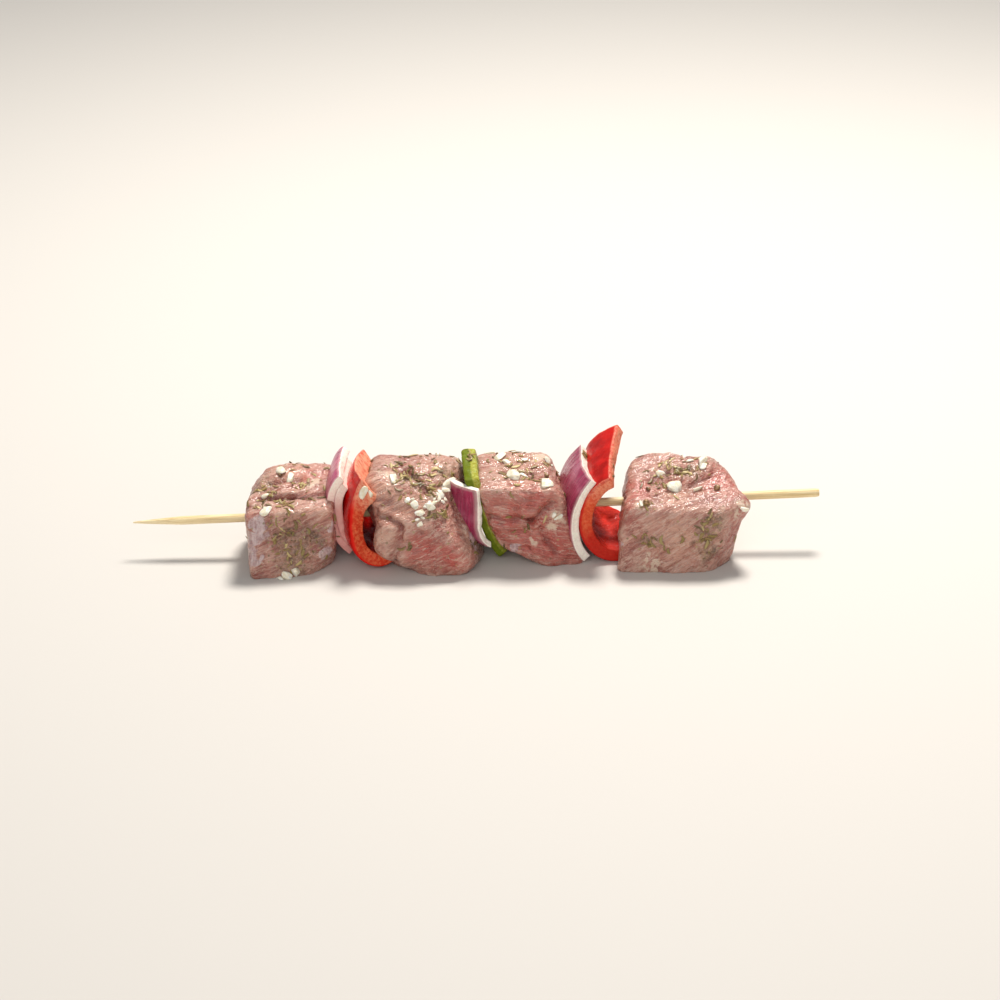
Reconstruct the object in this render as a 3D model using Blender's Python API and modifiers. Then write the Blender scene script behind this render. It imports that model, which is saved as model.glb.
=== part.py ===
"""Raw beef kebab: four blocks of marinated beef, red onion and bell pepper on a bamboo skewer.

Run with blender --background --python part.py, or from the Text Editor. Metres, +Z up, the skewer
along X with its point at -X. The kebab lies on the plane z = 0, with its origin under the middle.
Inside the tables below sizes are in millimetres and angles in degrees.
"""

import math

import bmesh
import bpy
import numpy as np
from mathutils import Matrix, Vector

MM = 0.001

# Bamboo skewer: a 10 inch stick, point at -X, lifted at +X by the larger block of meat there.
# POINT_BELLY is a place on the point and the thickness there, as shares of its length and of the
# diameter.
SKEWER_LENGTH = 254.0
SKEWER_DIAMETER = 3.2
SKEWER_POINT = 18.0
POINT_BELLY = (0.55, 0.72)
POINT_TIP_DIAMETER = 0.5
EDGE_BREAK = 0.2
SKEWER_HEIGHT = 17.05
SKEWER_RISE = 7.7
SKEWER_Y = 2.3

# Clearance between two pieces that press on each other.
GAP = 0.35

# How far beyond a vegetable a block is cut away.
BEYOND = 12.0

# Facets: cells along a side of a beef block, how far apart its ripples are, and cells up and
# across a piece of vegetable.
BLOCK_CELLS = 8
RIPPLE_LENGTH = 14.0
SHELL_CELLS_UP = 12
SHELL_CELLS_ACROSS = 7

# Beef blocks. A block is what is left inside its knife cuts. Each cut is the way that it faces,
# as azimuth (0 right, 90 back, 180 left, 270 front) and elevation, and its reach from the centre.
# A lump is a swelling or, below zero, a hollow: azimuth, elevation, spread in degrees, height.
BEEF = {
    "beef_1": {
        "centre": (-68.4, -1.8, 14.0),
        "crispness": 15,
        "cuts": [
            (180, -3, 15.6),
            (1, 0, 15.9),
            (277, 11, 15.4),
            (92, 3, 16.0),
            (266, 80, 12.4),
            (0, -90, 17.0),
            (172, 33, 18.2),
            (322, -28, 20.6),
        ],
        "lumps": [(95, 60, 26, 1.4), (255, 60, 12, -1.2), (300, -8, 24, 0.8)],
        "ripple": 0.45,
    },
    "beef_2": {
        "centre": (-18.0, -3.0, 16.0),
        "crispness": 9,
        "cuts": [
            (182, -5, 19.5),
            (0, 13, 16.0),
            (268, 3, 18.8),
            (262, 46, 16.8),
            (272, 84, 16.6),
            (90, 6, 18.6),
            (0, -90, 21.0),
            (320, 40, 12.9),
            (225, -42, 22.6),
            (318, -42, 26.5),
        ],
        "lumps": [
            (220, -12, 12, 2.6), (243, -8, 9, -1.6), (205, 42, 16, 1.4), (296, -14, 14, 1.6),
            (184, 26, 19, 2.6),
        ],
        "ripple": 0.7,
    },
    "beef_3": {
        "centre": (18.6, 1.2, 16.0),
        "crispness": 9,
        "cuts": [
            (178, -20, 13.2),
            (2, 20, 14.6),
            (270, 2, 15.4),
            (90, 4, 15.4),
            (268, 85, 16.0),
            (0, -90, 20.0),
            (184, -68, 13.4),
        ],
        "lumps": [(272, 26, 18, 1.7), (262, -6, 14, -1.7), (300, -32, 18, 1.3)],
        "ripple": 0.6,
    },
    "beef_4": {
        "centre": (73.0, -4.0, 15.5),
        "crispness": 11,
        "cuts": [
            (173, 5, 19.2),
            (21, -12, 19.6),
            (20, 42, 24.2),
            (266, 6, 16.8),
            (315, -8, 23.4),
            (270, 74, 13.0),
            (90, 8, 17.4),
            (0, -90, 20.0),
        ],
        "lumps": [(338, 14, 9, 2.0), (20, 50, 17, 2.0), (80, 62, 14, 1.0), (300, 60, 9, -1.2)],
        "ripple": 0.55,
    },
}

# Vegetable shells. Each is threaded at x, and reaches up, down, front and back from the skewer.
# The outer side faces -X. bend is how far the shell curls towards +X at its upper and lower end,
# curl is how late that curl comes. bow is how far the edges curl towards +X: the front and the
# back edge at the upper end, then at the lower end. corner is how far the ends round off, narrow
# how much of the breadth is lost at the lower end, inward how far an inner layer lies inside.
VEGETABLES = {
    "onion_1": {
        "x": -53.6, "thickness": 2.6, "up": (19.8, 22.4), "down": (13.8, 13.2),
        "front": 10.0, "back": 15.5, "bend": (66, 42), "curl": (2.0, 1.0),
        "bow": (1.2, 1.4, 1.2, 1.4), "yaw": -2, "lean": -9, "tilt": 0,
        "corner": 0.16, "narrow": 0, "inward": 0,
    },
    "onion_1_inner": {
        "x": -53.6, "thickness": 2.4, "up": (18.2, 20.4), "down": (12.8, 12.2),
        "front": 9.4, "back": 14.0, "bend": (60, 38), "curl": (2.0, 1.0),
        "bow": (1.2, 1.4, 1.2, 1.4), "yaw": -2, "lean": -9, "tilt": 0,
        "corner": 0.2, "narrow": 0, "inward": 2.9,
    },
    "red_pepper_1": {
        "x": -47.7, "thickness": 5.2, "up": (19.4, 20.0), "down": (21.2, 19.2),
        "front": 15.6, "back": 14.5, "bend": (34, 134), "curl": (1.0, 1.7),
        "bow": (3.4, 3.2, 4.2, 7.0), "yaw": 0, "lean": 1, "tilt": -4,
        "corner": 0.06, "narrow": 0, "inward": 0,
    },
    "onion_2": {
        "x": -10.2, "thickness": 2.4, "up": (14.2, 12.0), "down": (10.8, 8.0),
        "front": 16.0, "back": 4.5, "bend": (0, 60), "curl": (1.0, 1.0),
        "bow": (7.7, 0.4, 7.7, 0.4), "yaw": 12, "lean": 0, "tilt": 0,
        "corner": 0.04, "narrow": 0.2, "inward": 0,
    },
    "green_pepper": {
        "x": 2.6, "thickness": 4.2, "up": (17.6, 21.0), "down": (16.4, 14.0),
        "front": 11.0, "back": 12.0, "bend": (0, 18), "curl": (1.0, 1.2),
        "bow": (0.0, 0.4, 0.0, 0.4), "yaw": 0, "lean": -17, "tilt": 0,
        "corner": 0.08, "narrow": 0, "inward": 0,
    },
    "onion_3": {
        "x": 32.0, "thickness": 3.5, "up": (17.0, 19.4), "down": (18.0, 15.0),
        "front": 14.0, "back": 14.0, "bend": (44, 50), "curl": (1.0, 1.3),
        "bow": (3.2, 0.8, 3.2, 0.8), "yaw": 2, "lean": 4, "tilt": 0,
        "corner": 0.08, "narrow": 0, "inward": 0,
    },
    "red_pepper_2": {
        "x": 38.2, "thickness": 5.0, "up": (18.0, 29.6), "down": (27.0, 24.0),
        "front": 13.6, "back": 16.6, "bend": (67, 120), "curl": (1.1, 1.3),
        "bow": (1.6, 0.4, 1.6, 10.0), "yaw": 0, "lean": 2, "tilt": 0,
        "corner": 0.06, "narrow": 0, "inward": 0,
    },
}

# Which vegetables press into which piece, and on which side of it they stand. What a piece would
# have beyond a vegetable is cut off, but for those that only press in with an end or an edge.
PRESSES = {
    "beef_1": {"onion_1": "right"},
    "beef_2": {"red_pepper_1": "around", "onion_2": "around", "green_pepper": "right"},
    "beef_3": {"green_pepper": "left", "onion_3": "right"},
    "beef_4": {"red_pepper_2": "around"},
    "green_pepper": {"onion_2": "around"},
    "onion_1": {"red_pepper_1": "right"},
    "onion_1_inner": {"red_pepper_1": "right"},
    "onion_3": {"red_pepper_2": "right"},
}

# Marinade. The garlic that stands out, on each block: azimuth, elevation, length. The rest of the
# garlic and the flakes of herb are strewn by a seeded rule over what faces up, front and back.
# GARLIC_SHAPE is the width and height of a bit as shares of its length. STREWN_FRONT and
# STREWN_BACK are where the strewn bits land: azimuth, its spread, lowest and highest elevation.
GARLIC = {
    "beef_1": [(226, 42, 4.2), (252, 58, 3.2), (262, -34, 4.0)],
    "beef_2": [(226, 48, 4.6), (284, 30, 4.2), (296, 44, 3.8), (272, 18, 3.6)],
    "beef_3": [(262, 66, 5.6), (150, 72, 3.4), (318, 46, 3.4)],
    "beef_4": [(262, 52, 6.2), (20, 62, 4.6), (290, 54, 3.6)],
}
GARLIC_SHAPE = (0.72, 0.62)
STREWN_GARLIC = 4
STREWN_GARLIC_LENGTH = (2.0, 3.2)
STREWN_FLAKES = 13
FLAKE_LENGTH = (2.6, 4.6)
FLAKE_SECTION = (1.4, 1.5)
STREWN_FRONT = (270, 22, -25, 78)
STREWN_BACK = (90, 22, 5, 45)
TOPPING_SPACE = 0.8
TOPPING_FLOOR = 0.2

COLOURS = {
    "beef": ((0.36, 0.15, 0.12, 1), 0.38),
    "onion": ((0.42, 0.10, 0.24, 1), 0.30),
    "red_pepper": ((0.62, 0.03, 0.02, 1), 0.22),
    "green_pepper": ((0.16, 0.30, 0.03, 1), 0.30),
    "bamboo": ((0.78, 0.62, 0.32, 1), 0.55),
}


def clear_scene():
    for obj in list(bpy.data.objects):
        bpy.data.objects.remove(obj, do_unlink=True)


def new_collection(name, hidden=False):
    made = bpy.data.collections.new(name)
    bpy.context.scene.collection.children.link(made)
    made.hide_render = hidden
    return made


def new_material(name):
    colour, roughness = COLOURS[name]
    made = bpy.data.materials.new(name)
    made.use_nodes = True
    shader = made.node_tree.nodes["Principled BSDF"]
    shader.inputs["Base Color"].default_value = colour
    shader.inputs["Roughness"].default_value = roughness
    made.diffuse_color = colour
    return made


def new_object(name, mesh, collection, material=None):
    obj = bpy.data.objects.new(name, mesh)
    collection.objects.link(obj)
    if material:
        mesh.materials.append(material)
    return obj


def mesh_from(bm, name):
    bmesh.ops.recalc_face_normals(bm, faces=bm.faces)
    mesh = bpy.data.meshes.new(name)
    bm.to_mesh(mesh)
    bm.free()
    return mesh


def shade(obj, sharp_angle=45):
    obj.data.shade_smooth()
    obj.data.set_sharp_from_angle(angle=math.radians(sharp_angle))


def as_cutter(obj):
    obj.hide_render = True
    obj.display_type = "WIRE"
    return obj


def facing(azimuth, elevation):
    """Unit vector that faces azimuth (0 is +X, 90 is +Y) and elevation, in degrees."""
    a, e = np.radians(azimuth), np.radians(elevation)
    return np.stack([np.cos(a) * np.cos(e), np.sin(a) * np.cos(e), np.sin(e)], axis=-1)


def skewer_point(x):
    """The point of the skewer's axis at x, in millimetres."""
    return np.array([x, SKEWER_Y, SKEWER_HEIGHT + SKEWER_RISE * x / SKEWER_LENGTH])


def skewer_tilt():
    return math.atan2(SKEWER_RISE, SKEWER_LENGTH)


def make_skewer(collection, material, name="skewer", grow=0.0):
    """A stick turned about Z, point down, then laid along X with its point at -X."""
    radius = SKEWER_DIAMETER / 2 + grow
    tip = POINT_TIP_DIAMETER / 2 + grow
    half = SKEWER_LENGTH / 2
    profile = [
        (0, half),
        (radius - EDGE_BREAK, half),
        (radius, half - EDGE_BREAK),
        (radius, -half + SKEWER_POINT),
        (radius * POINT_BELLY[1], -half + SKEWER_POINT * POINT_BELLY[0]),
        (tip, -half + EDGE_BREAK),
        (0, -half),
    ]
    bm = bmesh.new()
    points = [bm.verts.new((r * MM, 0, z * MM)) for r, z in profile]
    for first, second in zip(points, points[1:]):
        bm.edges.new((first, second))
    mesh = bpy.data.meshes.new(name)
    bm.to_mesh(mesh)
    bm.free()
    obj = new_object(name, mesh, collection, material)
    screw = obj.modifiers.new("turn", "SCREW")
    screw.angle = math.tau
    screw.steps = screw.render_steps = 16
    screw.use_merge_vertices = True
    screw.merge_threshold = 0.00001
    screw.use_smooth_shade = True
    obj.rotation_euler = (0, math.pi / 2 - skewer_tilt(), 0)
    obj.location = Vector(skewer_point(0)) * MM
    return obj


def ripples(points, seed, wavelength):
    """Gentle unevenness, from -1 to 1: a sum of six sine waves that run in seeded directions."""
    draw = np.random.default_rng(seed)
    ways = draw.normal(size=(6, 3))
    ways /= np.linalg.norm(ways, axis=1)[:, None]
    lengths = wavelength * draw.uniform(0.7, 1.5, 6)
    starts = draw.uniform(0, math.tau, 6)
    return np.sin(points @ ways.T * math.tau / lengths + starts).mean(axis=1) * 1.6


def block_radius(ways, block):
    """How far the block reaches from its centre along each unit vector. The cuts give reach over
    the cosine to each cut; their p-norm rounds the edges, and the lumps are added as bells."""
    p = block["crispness"]
    total = np.zeros(len(ways))
    for azimuth, elevation, reach in block["cuts"]:
        towards = np.clip(ways @ facing(azimuth, elevation), 0, None)
        total += (towards / reach) ** p
    radius = total ** (-1 / p)
    for azimuth, elevation, spread, height in block["lumps"]:
        away = np.degrees(np.arccos(np.clip(ways @ facing(azimuth, elevation), -1, 1)))
        radius += height * np.exp(-((away / spread) ** 2))
    return radius


def block_surface(ways, name):
    """Points of the block's surface along unit vectors from its centre, flat where it lies."""
    block = BEEF[name]
    centre = np.array(block["centre"]) + (0, SKEWER_Y, 0)
    seed = sum(map(ord, name))
    radius = block_radius(ways, block)
    radius += block["ripple"] * ripples(ways * radius[:, None], seed, RIPPLE_LENGTH)
    points = centre + ways * radius[:, None]
    points[:, 2] = np.clip(points[:, 2], 0, None)
    return points


def topping(collection, name, at, out, length, width, height, turn):
    """One bit of garlic or flake of herb: a low-sided ball, stretched, half sunk in the surface."""
    bm = bmesh.new()
    bmesh.ops.create_icosphere(bm, subdivisions=1, radius=0.5)
    upright = Vector(out).to_track_quat("Z", "Y").to_matrix().to_4x4()
    size = Matrix.Diagonal((length * MM, width * MM, height * MM, 1))
    place = Matrix.Translation(Vector(at) * MM)
    bm.transform(place @ upright @ Matrix.Rotation(turn, 4, "Z") @ size)
    for vertex in bm.verts:
        vertex.co.z = max(vertex.co.z, TOPPING_FLOOR * MM)
    return new_object(name, mesh_from(bm, name), collection)


def strew_toppings(name, collection):
    """The garlic that stands out, then seeded bits and flakes over the free faces of a block."""
    draw = np.random.default_rng(7 + sum(map(ord, name)))
    spots = []

    def place(azimuth, elevation, kind, length, width, height):
        ways = [facing(azimuth + east, elevation + up) for east, up in ((0, 0), (4, 0), (0, 4))]
        at, beside, above = block_surface(np.array(ways), name)
        out = np.cross(beside - at, above - at)
        out /= np.linalg.norm(out)
        apart = [np.linalg.norm(at - spot) - size for spot, size in spots]
        if min(apart, default=math.inf) < length / 2 + TOPPING_SPACE:
            return
        spots.append((at, length / 2))
        turn = draw.uniform(0, math.tau)
        topping(collection, f"{name}_{kind}", at, out, length, width, height, turn)

    for azimuth, elevation, length in GARLIC[name]:
        place(azimuth, elevation, "garlic", length, *(length * share for share in GARLIC_SHAPE))
    for number in range(STREWN_GARLIC + STREWN_FLAKES):
        middle, spread, low, high = STREWN_BACK if number % 3 == 2 else STREWN_FRONT
        azimuth = draw.normal(middle, spread)
        elevation = draw.uniform(low, high)
        if number < STREWN_GARLIC:
            length = draw.uniform(*STREWN_GARLIC_LENGTH)
            place(azimuth, elevation, "garlic", length, *(length * share for share in GARLIC_SHAPE))
        else:
            place(azimuth, elevation, "flake", draw.uniform(*FLAKE_LENGTH), *FLAKE_SECTION)


def boolean(obj, operation, collection):
    made = obj.modifiers.new(operation.lower(), "BOOLEAN")
    made.operation = operation
    made.operand_type = "COLLECTION"
    made.collection = collection
    made.solver = "EXACT"
    return made


def apply_modifiers(obj):
    graph = bpy.context.evaluated_depsgraph_get()
    graph.update()
    mesh = bpy.data.meshes.new_from_object(obj.evaluated_get(graph))
    obj.modifiers.clear()
    obj.data = mesh


def remove_collection(collection):
    for obj in list(collection.objects):
        bpy.data.objects.remove(obj, do_unlink=True)
    bpy.data.collections.remove(collection)


def make_beef(name, collection, material):
    """A cube cut into cells whose corners move out to the block, with its marinade fused on."""
    bm = bmesh.new()
    bmesh.ops.create_cube(bm, size=2)
    bmesh.ops.subdivide_edges(bm, edges=bm.edges[:], cuts=BLOCK_CELLS - 1, use_grid_fill=True)
    cells = np.array([v.co[:] for v in bm.verts])
    evened = np.tan(cells * math.pi / 4)
    ways = evened / np.linalg.norm(evened, axis=1)[:, None]
    for vertex, point in zip(bm.verts, block_surface(ways, name) * MM):
        vertex.co = point
    obj = new_object(name, mesh_from(bm, name), collection, material)
    bits = new_collection(f"{name}_toppings", hidden=True)
    strew_toppings(name, bits)
    boolean(obj, "UNION", bits)
    apply_modifiers(obj)
    remove_collection(bits)
    return obj


def curled_line(share, bend, curl):
    """Sideways, along and turn, on a line of length 1 that turns by bend in all, late for a large
    curl."""
    steps = np.linspace(0, 1.2, 121)
    turned = np.radians(bend) * steps**curl
    middle = (turned[1:] + turned[:-1]) / 2
    sideways = np.concatenate([[0], np.cumsum(np.sin(middle))]) / 100
    along = np.concatenate([[0], np.cumsum(np.cos(middle))]) / 100
    return [np.interp(share, steps, values) for values in (sideways, along, turned)]


def shell_surface(u, v, spec, inward=0.0):
    """A vegetable's middle surface. u runs from -1 at its lower end to 1 at its upper end, v from
    -1 at the front edge to 1 at the back. It curls up and down, bows front to back, leans and is
    turned about its own spot on the skewer. inward moves it along its normal."""
    inward = inward + spec["inward"]
    back_share = (v + 1) / 2
    along_x, along_z = np.zeros_like(u), np.zeros_like(u)
    for sign, way, number in ((1, "up", 0), (-1, "down", 1)):
        near, far = spec[way]
        side, rise, turned = curled_line(
            np.clip(u * sign, 0, 1.2), spec["bend"][number], spec["curl"][number]
        )
        reach = near + (far - near) * back_share
        here = u * sign >= 0
        along_x = np.where(here, side * reach + inward * np.cos(turned), along_x)
        along_z = np.where(here, sign * (rise * reach - inward * np.sin(turned)), along_z)
    rounded = 1 - spec["corner"] * np.abs(u) ** 3
    lost = spec["narrow"] * ((1 - u) / 2) ** 2
    breadth = spec["front"] + spec["back"]
    along_y = np.where(v < 0, v * spec["front"], v * spec["back"]) * rounded
    along_y -= lost * back_share * breadth
    upper = np.clip((u + 0.6) / 1.2, 0, 1)
    front_up, back_up, front_down, back_down = spec["bow"]
    front_bow = front_down + (front_up - front_down) * upper
    back_bow = back_down + (back_up - back_down) * upper
    along_x += np.where(v < 0, front_bow, back_bow) * v**2 * rounded**2
    local = np.stack([along_x, along_y, along_z], axis=-1)
    turn = Matrix.Rotation(math.radians(spec["yaw"]), 3, "Z")
    turn = turn @ Matrix.Rotation(math.radians(spec["tilt"]), 3, "X")
    turn = turn @ Matrix.Rotation(math.radians(spec["lean"]), 3, "Y")
    return skewer_point(spec["x"]) + local @ np.array(turn).T


def make_shell(name, vegetable, collection, material, grow=0.0, side="around"):
    """A flat grid moved onto the curled middle surface and thickened both ways. With grow it is
    the room that the vegetable takes, with all that lies beyond it on one side."""
    spec = VEGETABLES[vegetable]
    bm = bmesh.new()
    bmesh.ops.create_grid(
        bm, x_segments=SHELL_CELLS_ACROSS, y_segments=SHELL_CELLS_UP, size=1.0
    )
    flat = np.array([v.co[:] for v in bm.verts])
    shorter = min(spec["front"] + spec["back"], sum(spec["up"] + spec["down"]) / 2)
    swell = 1 + 2 * grow / shorter
    flat = np.where(np.abs(flat[:, :2]) > 0.999, flat[:, :2] * swell, flat[:, :2])
    points = shell_surface(flat[:, 1], flat[:, 0], spec) * MM
    for vertex, point in zip(bm.verts, points):
        vertex.co = point
    mesh = bpy.data.meshes.new(name)
    bm.to_mesh(mesh)
    bm.free()
    obj = new_object(name, mesh, collection, material)
    beyond = 0 if side == "around" else BEYOND
    half = spec["thickness"] / 2 + grow
    walls = obj.modifiers.new("walls", "SOLIDIFY")
    walls.thickness = (2 * half + beyond) * MM
    walls.offset = (1 - 2 * half / (2 * half + beyond)) * (-1 if side == "left" else 1)
    walls.use_even_offset = False
    return obj


def build():
    clear_scene()
    kebab = new_collection("beef_kebab")
    materials = {name: new_material(name) for name in COLOURS}
    root = bpy.data.objects.new("kebab_origin", None)
    kebab.objects.link(root)

    pieces = [make_skewer(kebab, materials["bamboo"])]
    hole = new_collection("skewer_hole", hidden=True)
    as_cutter(make_skewer(hole, None, "skewer_room", GAP))

    for name in [*BEEF, *VEGETABLES]:
        kind = next(k for k in COLOURS if name.startswith(k))
        if name in BEEF:
            obj = make_beef(name, kebab, materials[kind])
        else:
            obj = make_shell(name, name, kebab, materials[kind])
        if name in PRESSES:
            room = new_collection(f"{name}_rooms", hidden=True)
            for vegetable, side in PRESSES[name].items():
                as_cutter(make_shell(f"{name}_{vegetable}", vegetable, room, None, GAP, side))
            boolean(obj, "DIFFERENCE", room)
        boolean(obj, "DIFFERENCE", hole)
        pieces.append(obj)

    for obj in pieces:
        obj.parent = root
        if obj.type == "MESH" and obj.name != "skewer":
            shade(obj)
    return pieces


build()
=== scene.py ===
"""Looks of a raw beef kebab: marinated beef, red onion and bell pepper on a bamboo skewer.

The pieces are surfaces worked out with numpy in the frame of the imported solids: metres, +Z up,
the skewer along X with its point at -X, the rest plane at z = 0. The tables hold millimetres and
degrees. An azimuth is 0 at +X and 90 at +Y, an elevation 90 at +Z.
"""

import math

import bpy
import numpy as np
from mathutils import Matrix, Vector
from mathutils.bvhtree import BVHTree


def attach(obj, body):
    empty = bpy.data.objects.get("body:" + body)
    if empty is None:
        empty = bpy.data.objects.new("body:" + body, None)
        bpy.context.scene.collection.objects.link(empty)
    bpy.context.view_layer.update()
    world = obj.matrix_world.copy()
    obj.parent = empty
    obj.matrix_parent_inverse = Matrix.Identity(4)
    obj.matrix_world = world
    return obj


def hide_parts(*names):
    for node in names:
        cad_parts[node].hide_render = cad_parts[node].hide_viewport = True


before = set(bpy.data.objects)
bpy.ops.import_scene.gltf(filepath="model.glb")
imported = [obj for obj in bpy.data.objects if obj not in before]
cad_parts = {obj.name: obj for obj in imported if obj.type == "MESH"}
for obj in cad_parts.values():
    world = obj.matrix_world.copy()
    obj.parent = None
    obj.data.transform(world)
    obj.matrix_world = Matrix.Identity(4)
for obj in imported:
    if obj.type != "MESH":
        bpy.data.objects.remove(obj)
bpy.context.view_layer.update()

MM = 0.001

# Bamboo skewer: its size, and where its axis lies at x = 0. RISE is from end to end.
SKEWER_LENGTH = 254.0
SKEWER_DIAMETER = 3.2
SKEWER_POINT = 18.0
SKEWER_HEIGHT = 17.05
SKEWER_RISE = 7.7
SKEWER_Y = 2.3

# How far a vegetable sinks into a piece that it presses on, and how much is cut away beyond it.
SINK = 0.12
BEYOND = 12.0

# Cells along the sides of each kind of piece, and the size of a cell along a vegetable.
BLOCK_CELLS = 104
GARLIC_CELLS = 9
SEED_CELLS = 8
FLAKE_CELLS = (6, 2, 1)
ROOM_CELLS = (44, 24, 4)
SKEWER_CELLS = (48, 260)
VEGETABLE_CELL = 0.42

# Relief of the meat: how high its threads, its bundles of threads, its soft lumps and its fine
# crumbs stand, how much higher the crumbs stand in herb paste, and how long its ripples are.
THREAD_HEIGHT = 0.24
BUNDLE_HEIGHT = 0.36
LUMP_HEIGHT = 0.62
CRUMB_HEIGHT = 0.14
PASTE_HEIGHT = 0.30
RIPPLE_LENGTH = 14
# How much longer than wide the threads are.
THREAD_STRETCH = 7

# Sharper folds than these, in degrees, are shaded as edges.
MEAT_EDGE = 65
VEGETABLE_EDGE = 50
SKEWER_EDGE = 40

# Beef blocks. A block is what is left inside its knife cuts, each with the way that it faces and
# its reach from the centre. A lump has its place, its spread in degrees and its height. fibre is
# the way that the meat's fibres run. A crease runs between two places, with width and depth.
# silverskin, paste, fat, red and pale are patches: azimuth, elevation, spread.
# Red patches are partly painted shade and pale patches partly painted light; the rest is the meat's own
# tone.
BEEF = {
    "beef_1": {
        "centre": (-68.4, -1.8, 14.0),
        "crispness": 15,
        "cuts": [
            (180, -3, 15.6), (1, 0, 15.9), (277, 11, 15.4), (92, 3, 16.0), (266, 80, 12.4),
            (0, -90, 17.0), (172, 33, 18.2), (322, -28, 20.6),
        ],
        "lumps": [(95, 60, 26, 1.4), (255, 60, 12, -1.2), (300, -8, 24, 0.8)],
        "ripple": 0.45,
        "fibre": (20, 18),
        "creases": [
            ((204, 44), (275, 68), 5, 1.7), ((275, 68), (342, 42), 6, 1.4),
            ((150, 58), (60, 66), 5, 0.9), ((246, 26), (240, -24), 2.5, 0.4),
            ((256, 2), (300, 16), 3, 0.35),
        ],
        "silverskin": [
            (236, 20, 10), (234, 4, 11), (232, -14, 9), (311, -16, 9), (322, 6, 6), (64, -14, 10),
        ],
        "paste": [
            (262, 8, 22), (284, 2, 22), (272, -20, 24), (300, 0, 14), (170, 50, 16), (104, 4, 18),
        ],
        "fat": [(255, 64, 8), (20, 58, 10), (120, 24, 7)],
        "red": [(60, 60, 20), (330, 20, 12)],
        "pale": [(95, 60, 24), (284, 29, 11), (262, 32, 9), (310, 27, 9)],
    },
    "beef_2": {
        "centre": (-18.0, -3.0, 16.0),
        "crispness": 9,
        "cuts": [
            (182, -5, 19.5), (0, 13, 16.0), (268, 3, 18.8), (262, 46, 16.8), (272, 84, 16.6),
            (90, 6, 18.6), (0, -90, 21.0), (320, 40, 12.9), (225, -42, 22.6), (318, -42, 26.5),
        ],
        "lumps": [
            (220, -12, 12, 2.6), (243, -8, 9, -1.6), (205, 42, 16, 1.4), (296, -14, 14, 1.6),
            (184, 26, 19, 2.6),
        ],
        "ripple": 0.7,
        "fibre": (10, 24),
        "creases": [
            ((212, 17), (238, 10), 3, 1.1), ((238, 10), (262, 4), 3.5, 0.7),
            ((240, 4), (234, -34), 3, 1.1), ((300, 4), (318, -14), 4, 0.5),
            ((160, 60), (230, 72), 4, 0.9), ((262, 58), (330, 66), 5, 0.7),
        ],
        "silverskin": [(326, -14, 9), (124, -20, 10)],
        "paste": [(190, 66, 12), (20, 68, 12), (92, 18, 17)],
        "fat": [(302, 46, 6), (286, 50, 5), (186, 50, 6), (318, -2, 5), (70, -8, 8)],
        "red": [(262, -14, 19), (292, -20, 16), (196, 4, 16), (104, -16, 26)],
        "pale": [
            (230, 36, 22), (250, 40, 20), (205, 40, 16), (30, 70, 30), (226, 0, 7), (316, -6, 10),
        ],
    },
    "beef_3": {
        "centre": (18.6, 1.2, 16.0),
        "crispness": 9,
        "cuts": [
            (178, -20, 13.2), (2, 20, 14.6), (270, 2, 15.4), (90, 4, 15.4), (268, 85, 16.0),
            (0, -90, 20.0), (184, -68, 13.4),
        ],
        "lumps": [
            (272, 26, 18, 1.7), (262, -6, 14, -1.7), (300, -32, 18, 1.3), (326, -20, 15, -2.8),
        ],
        "ripple": 0.6,
        "fibre": (8, -10),
        "creases": [
            ((226, 8), (272, 10), 5, 1.3), ((272, 10), (300, 26), 5, 1.6),
            ((284, 0), (300, -28), 4, 0.9), ((240, -20), (268, -30), 4, 0.5),
            ((200, 60), (300, 62), 5, 0.6),
        ],
        "silverskin": [(250, -30, 4), (70, 20, 8)],
        "paste": [(230, 66, 9), (112, -10, 14)],
        "fat": [(304, 12, 8), (300, 0, 6), (298, 49, 7), (276, -17, 5), (60, 60, 12)],
        "red": [
            (258, 28, 30), (240, 8, 30), (300, -20, 30), (280, 36, 26), (270, -22, 34), (285, 4, 24),
            (78, -6, 26),
        ],
        "pale": [(228, 70, 26), (90, 66, 30)],
    },
    "beef_4": {
        "centre": (73.0, -4.0, 15.5),
        "crispness": 11,
        "cuts": [
            (173, 5, 19.2), (21, -12, 19.6), (20, 42, 24.2), (266, 6, 16.8), (315, -8, 23.4),
            (270, 74, 13.0), (90, 8, 17.4), (0, -90, 20.0),
        ],
        "lumps": [(338, 14, 9, 2.0), (20, 50, 17, 2.0), (80, 62, 14, 1.0), (300, 60, 9, -1.2)],
        "ripple": 0.55,
        "fibre": (12, 30),
        "creases": [
            ((184, 54), (140, 72), 5, 1.4), ((140, 72), (26, 64), 5, 1.3),
            ((330, 62), (12, 44), 5, 1.0), ((222, 4), (232, -22), 4, 0.4),
            ((300, -6), (312, -22), 4, 0.5),
        ],
        "silverskin": [(214, -14, 5), (118, 8, 10)],
        "paste": [
            (296, -2, 13), (308, 12, 9), (236, -8, 9), (30, 66, 10), (300, -18, 12), (76, 6, 15),
        ],
        "fat": [(332, 14, 7), (222, 28, 5), (250, 72, 6), (240, -30, 8), (100, -26, 9)],
        "red": [(200, 40, 16), (205, 14, 14), (358, 34, 20), (345, -4, 24), (128, -14, 22)],
        "pale": [(262, 50, 22), (270, -6, 30)],
    },
}

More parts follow.
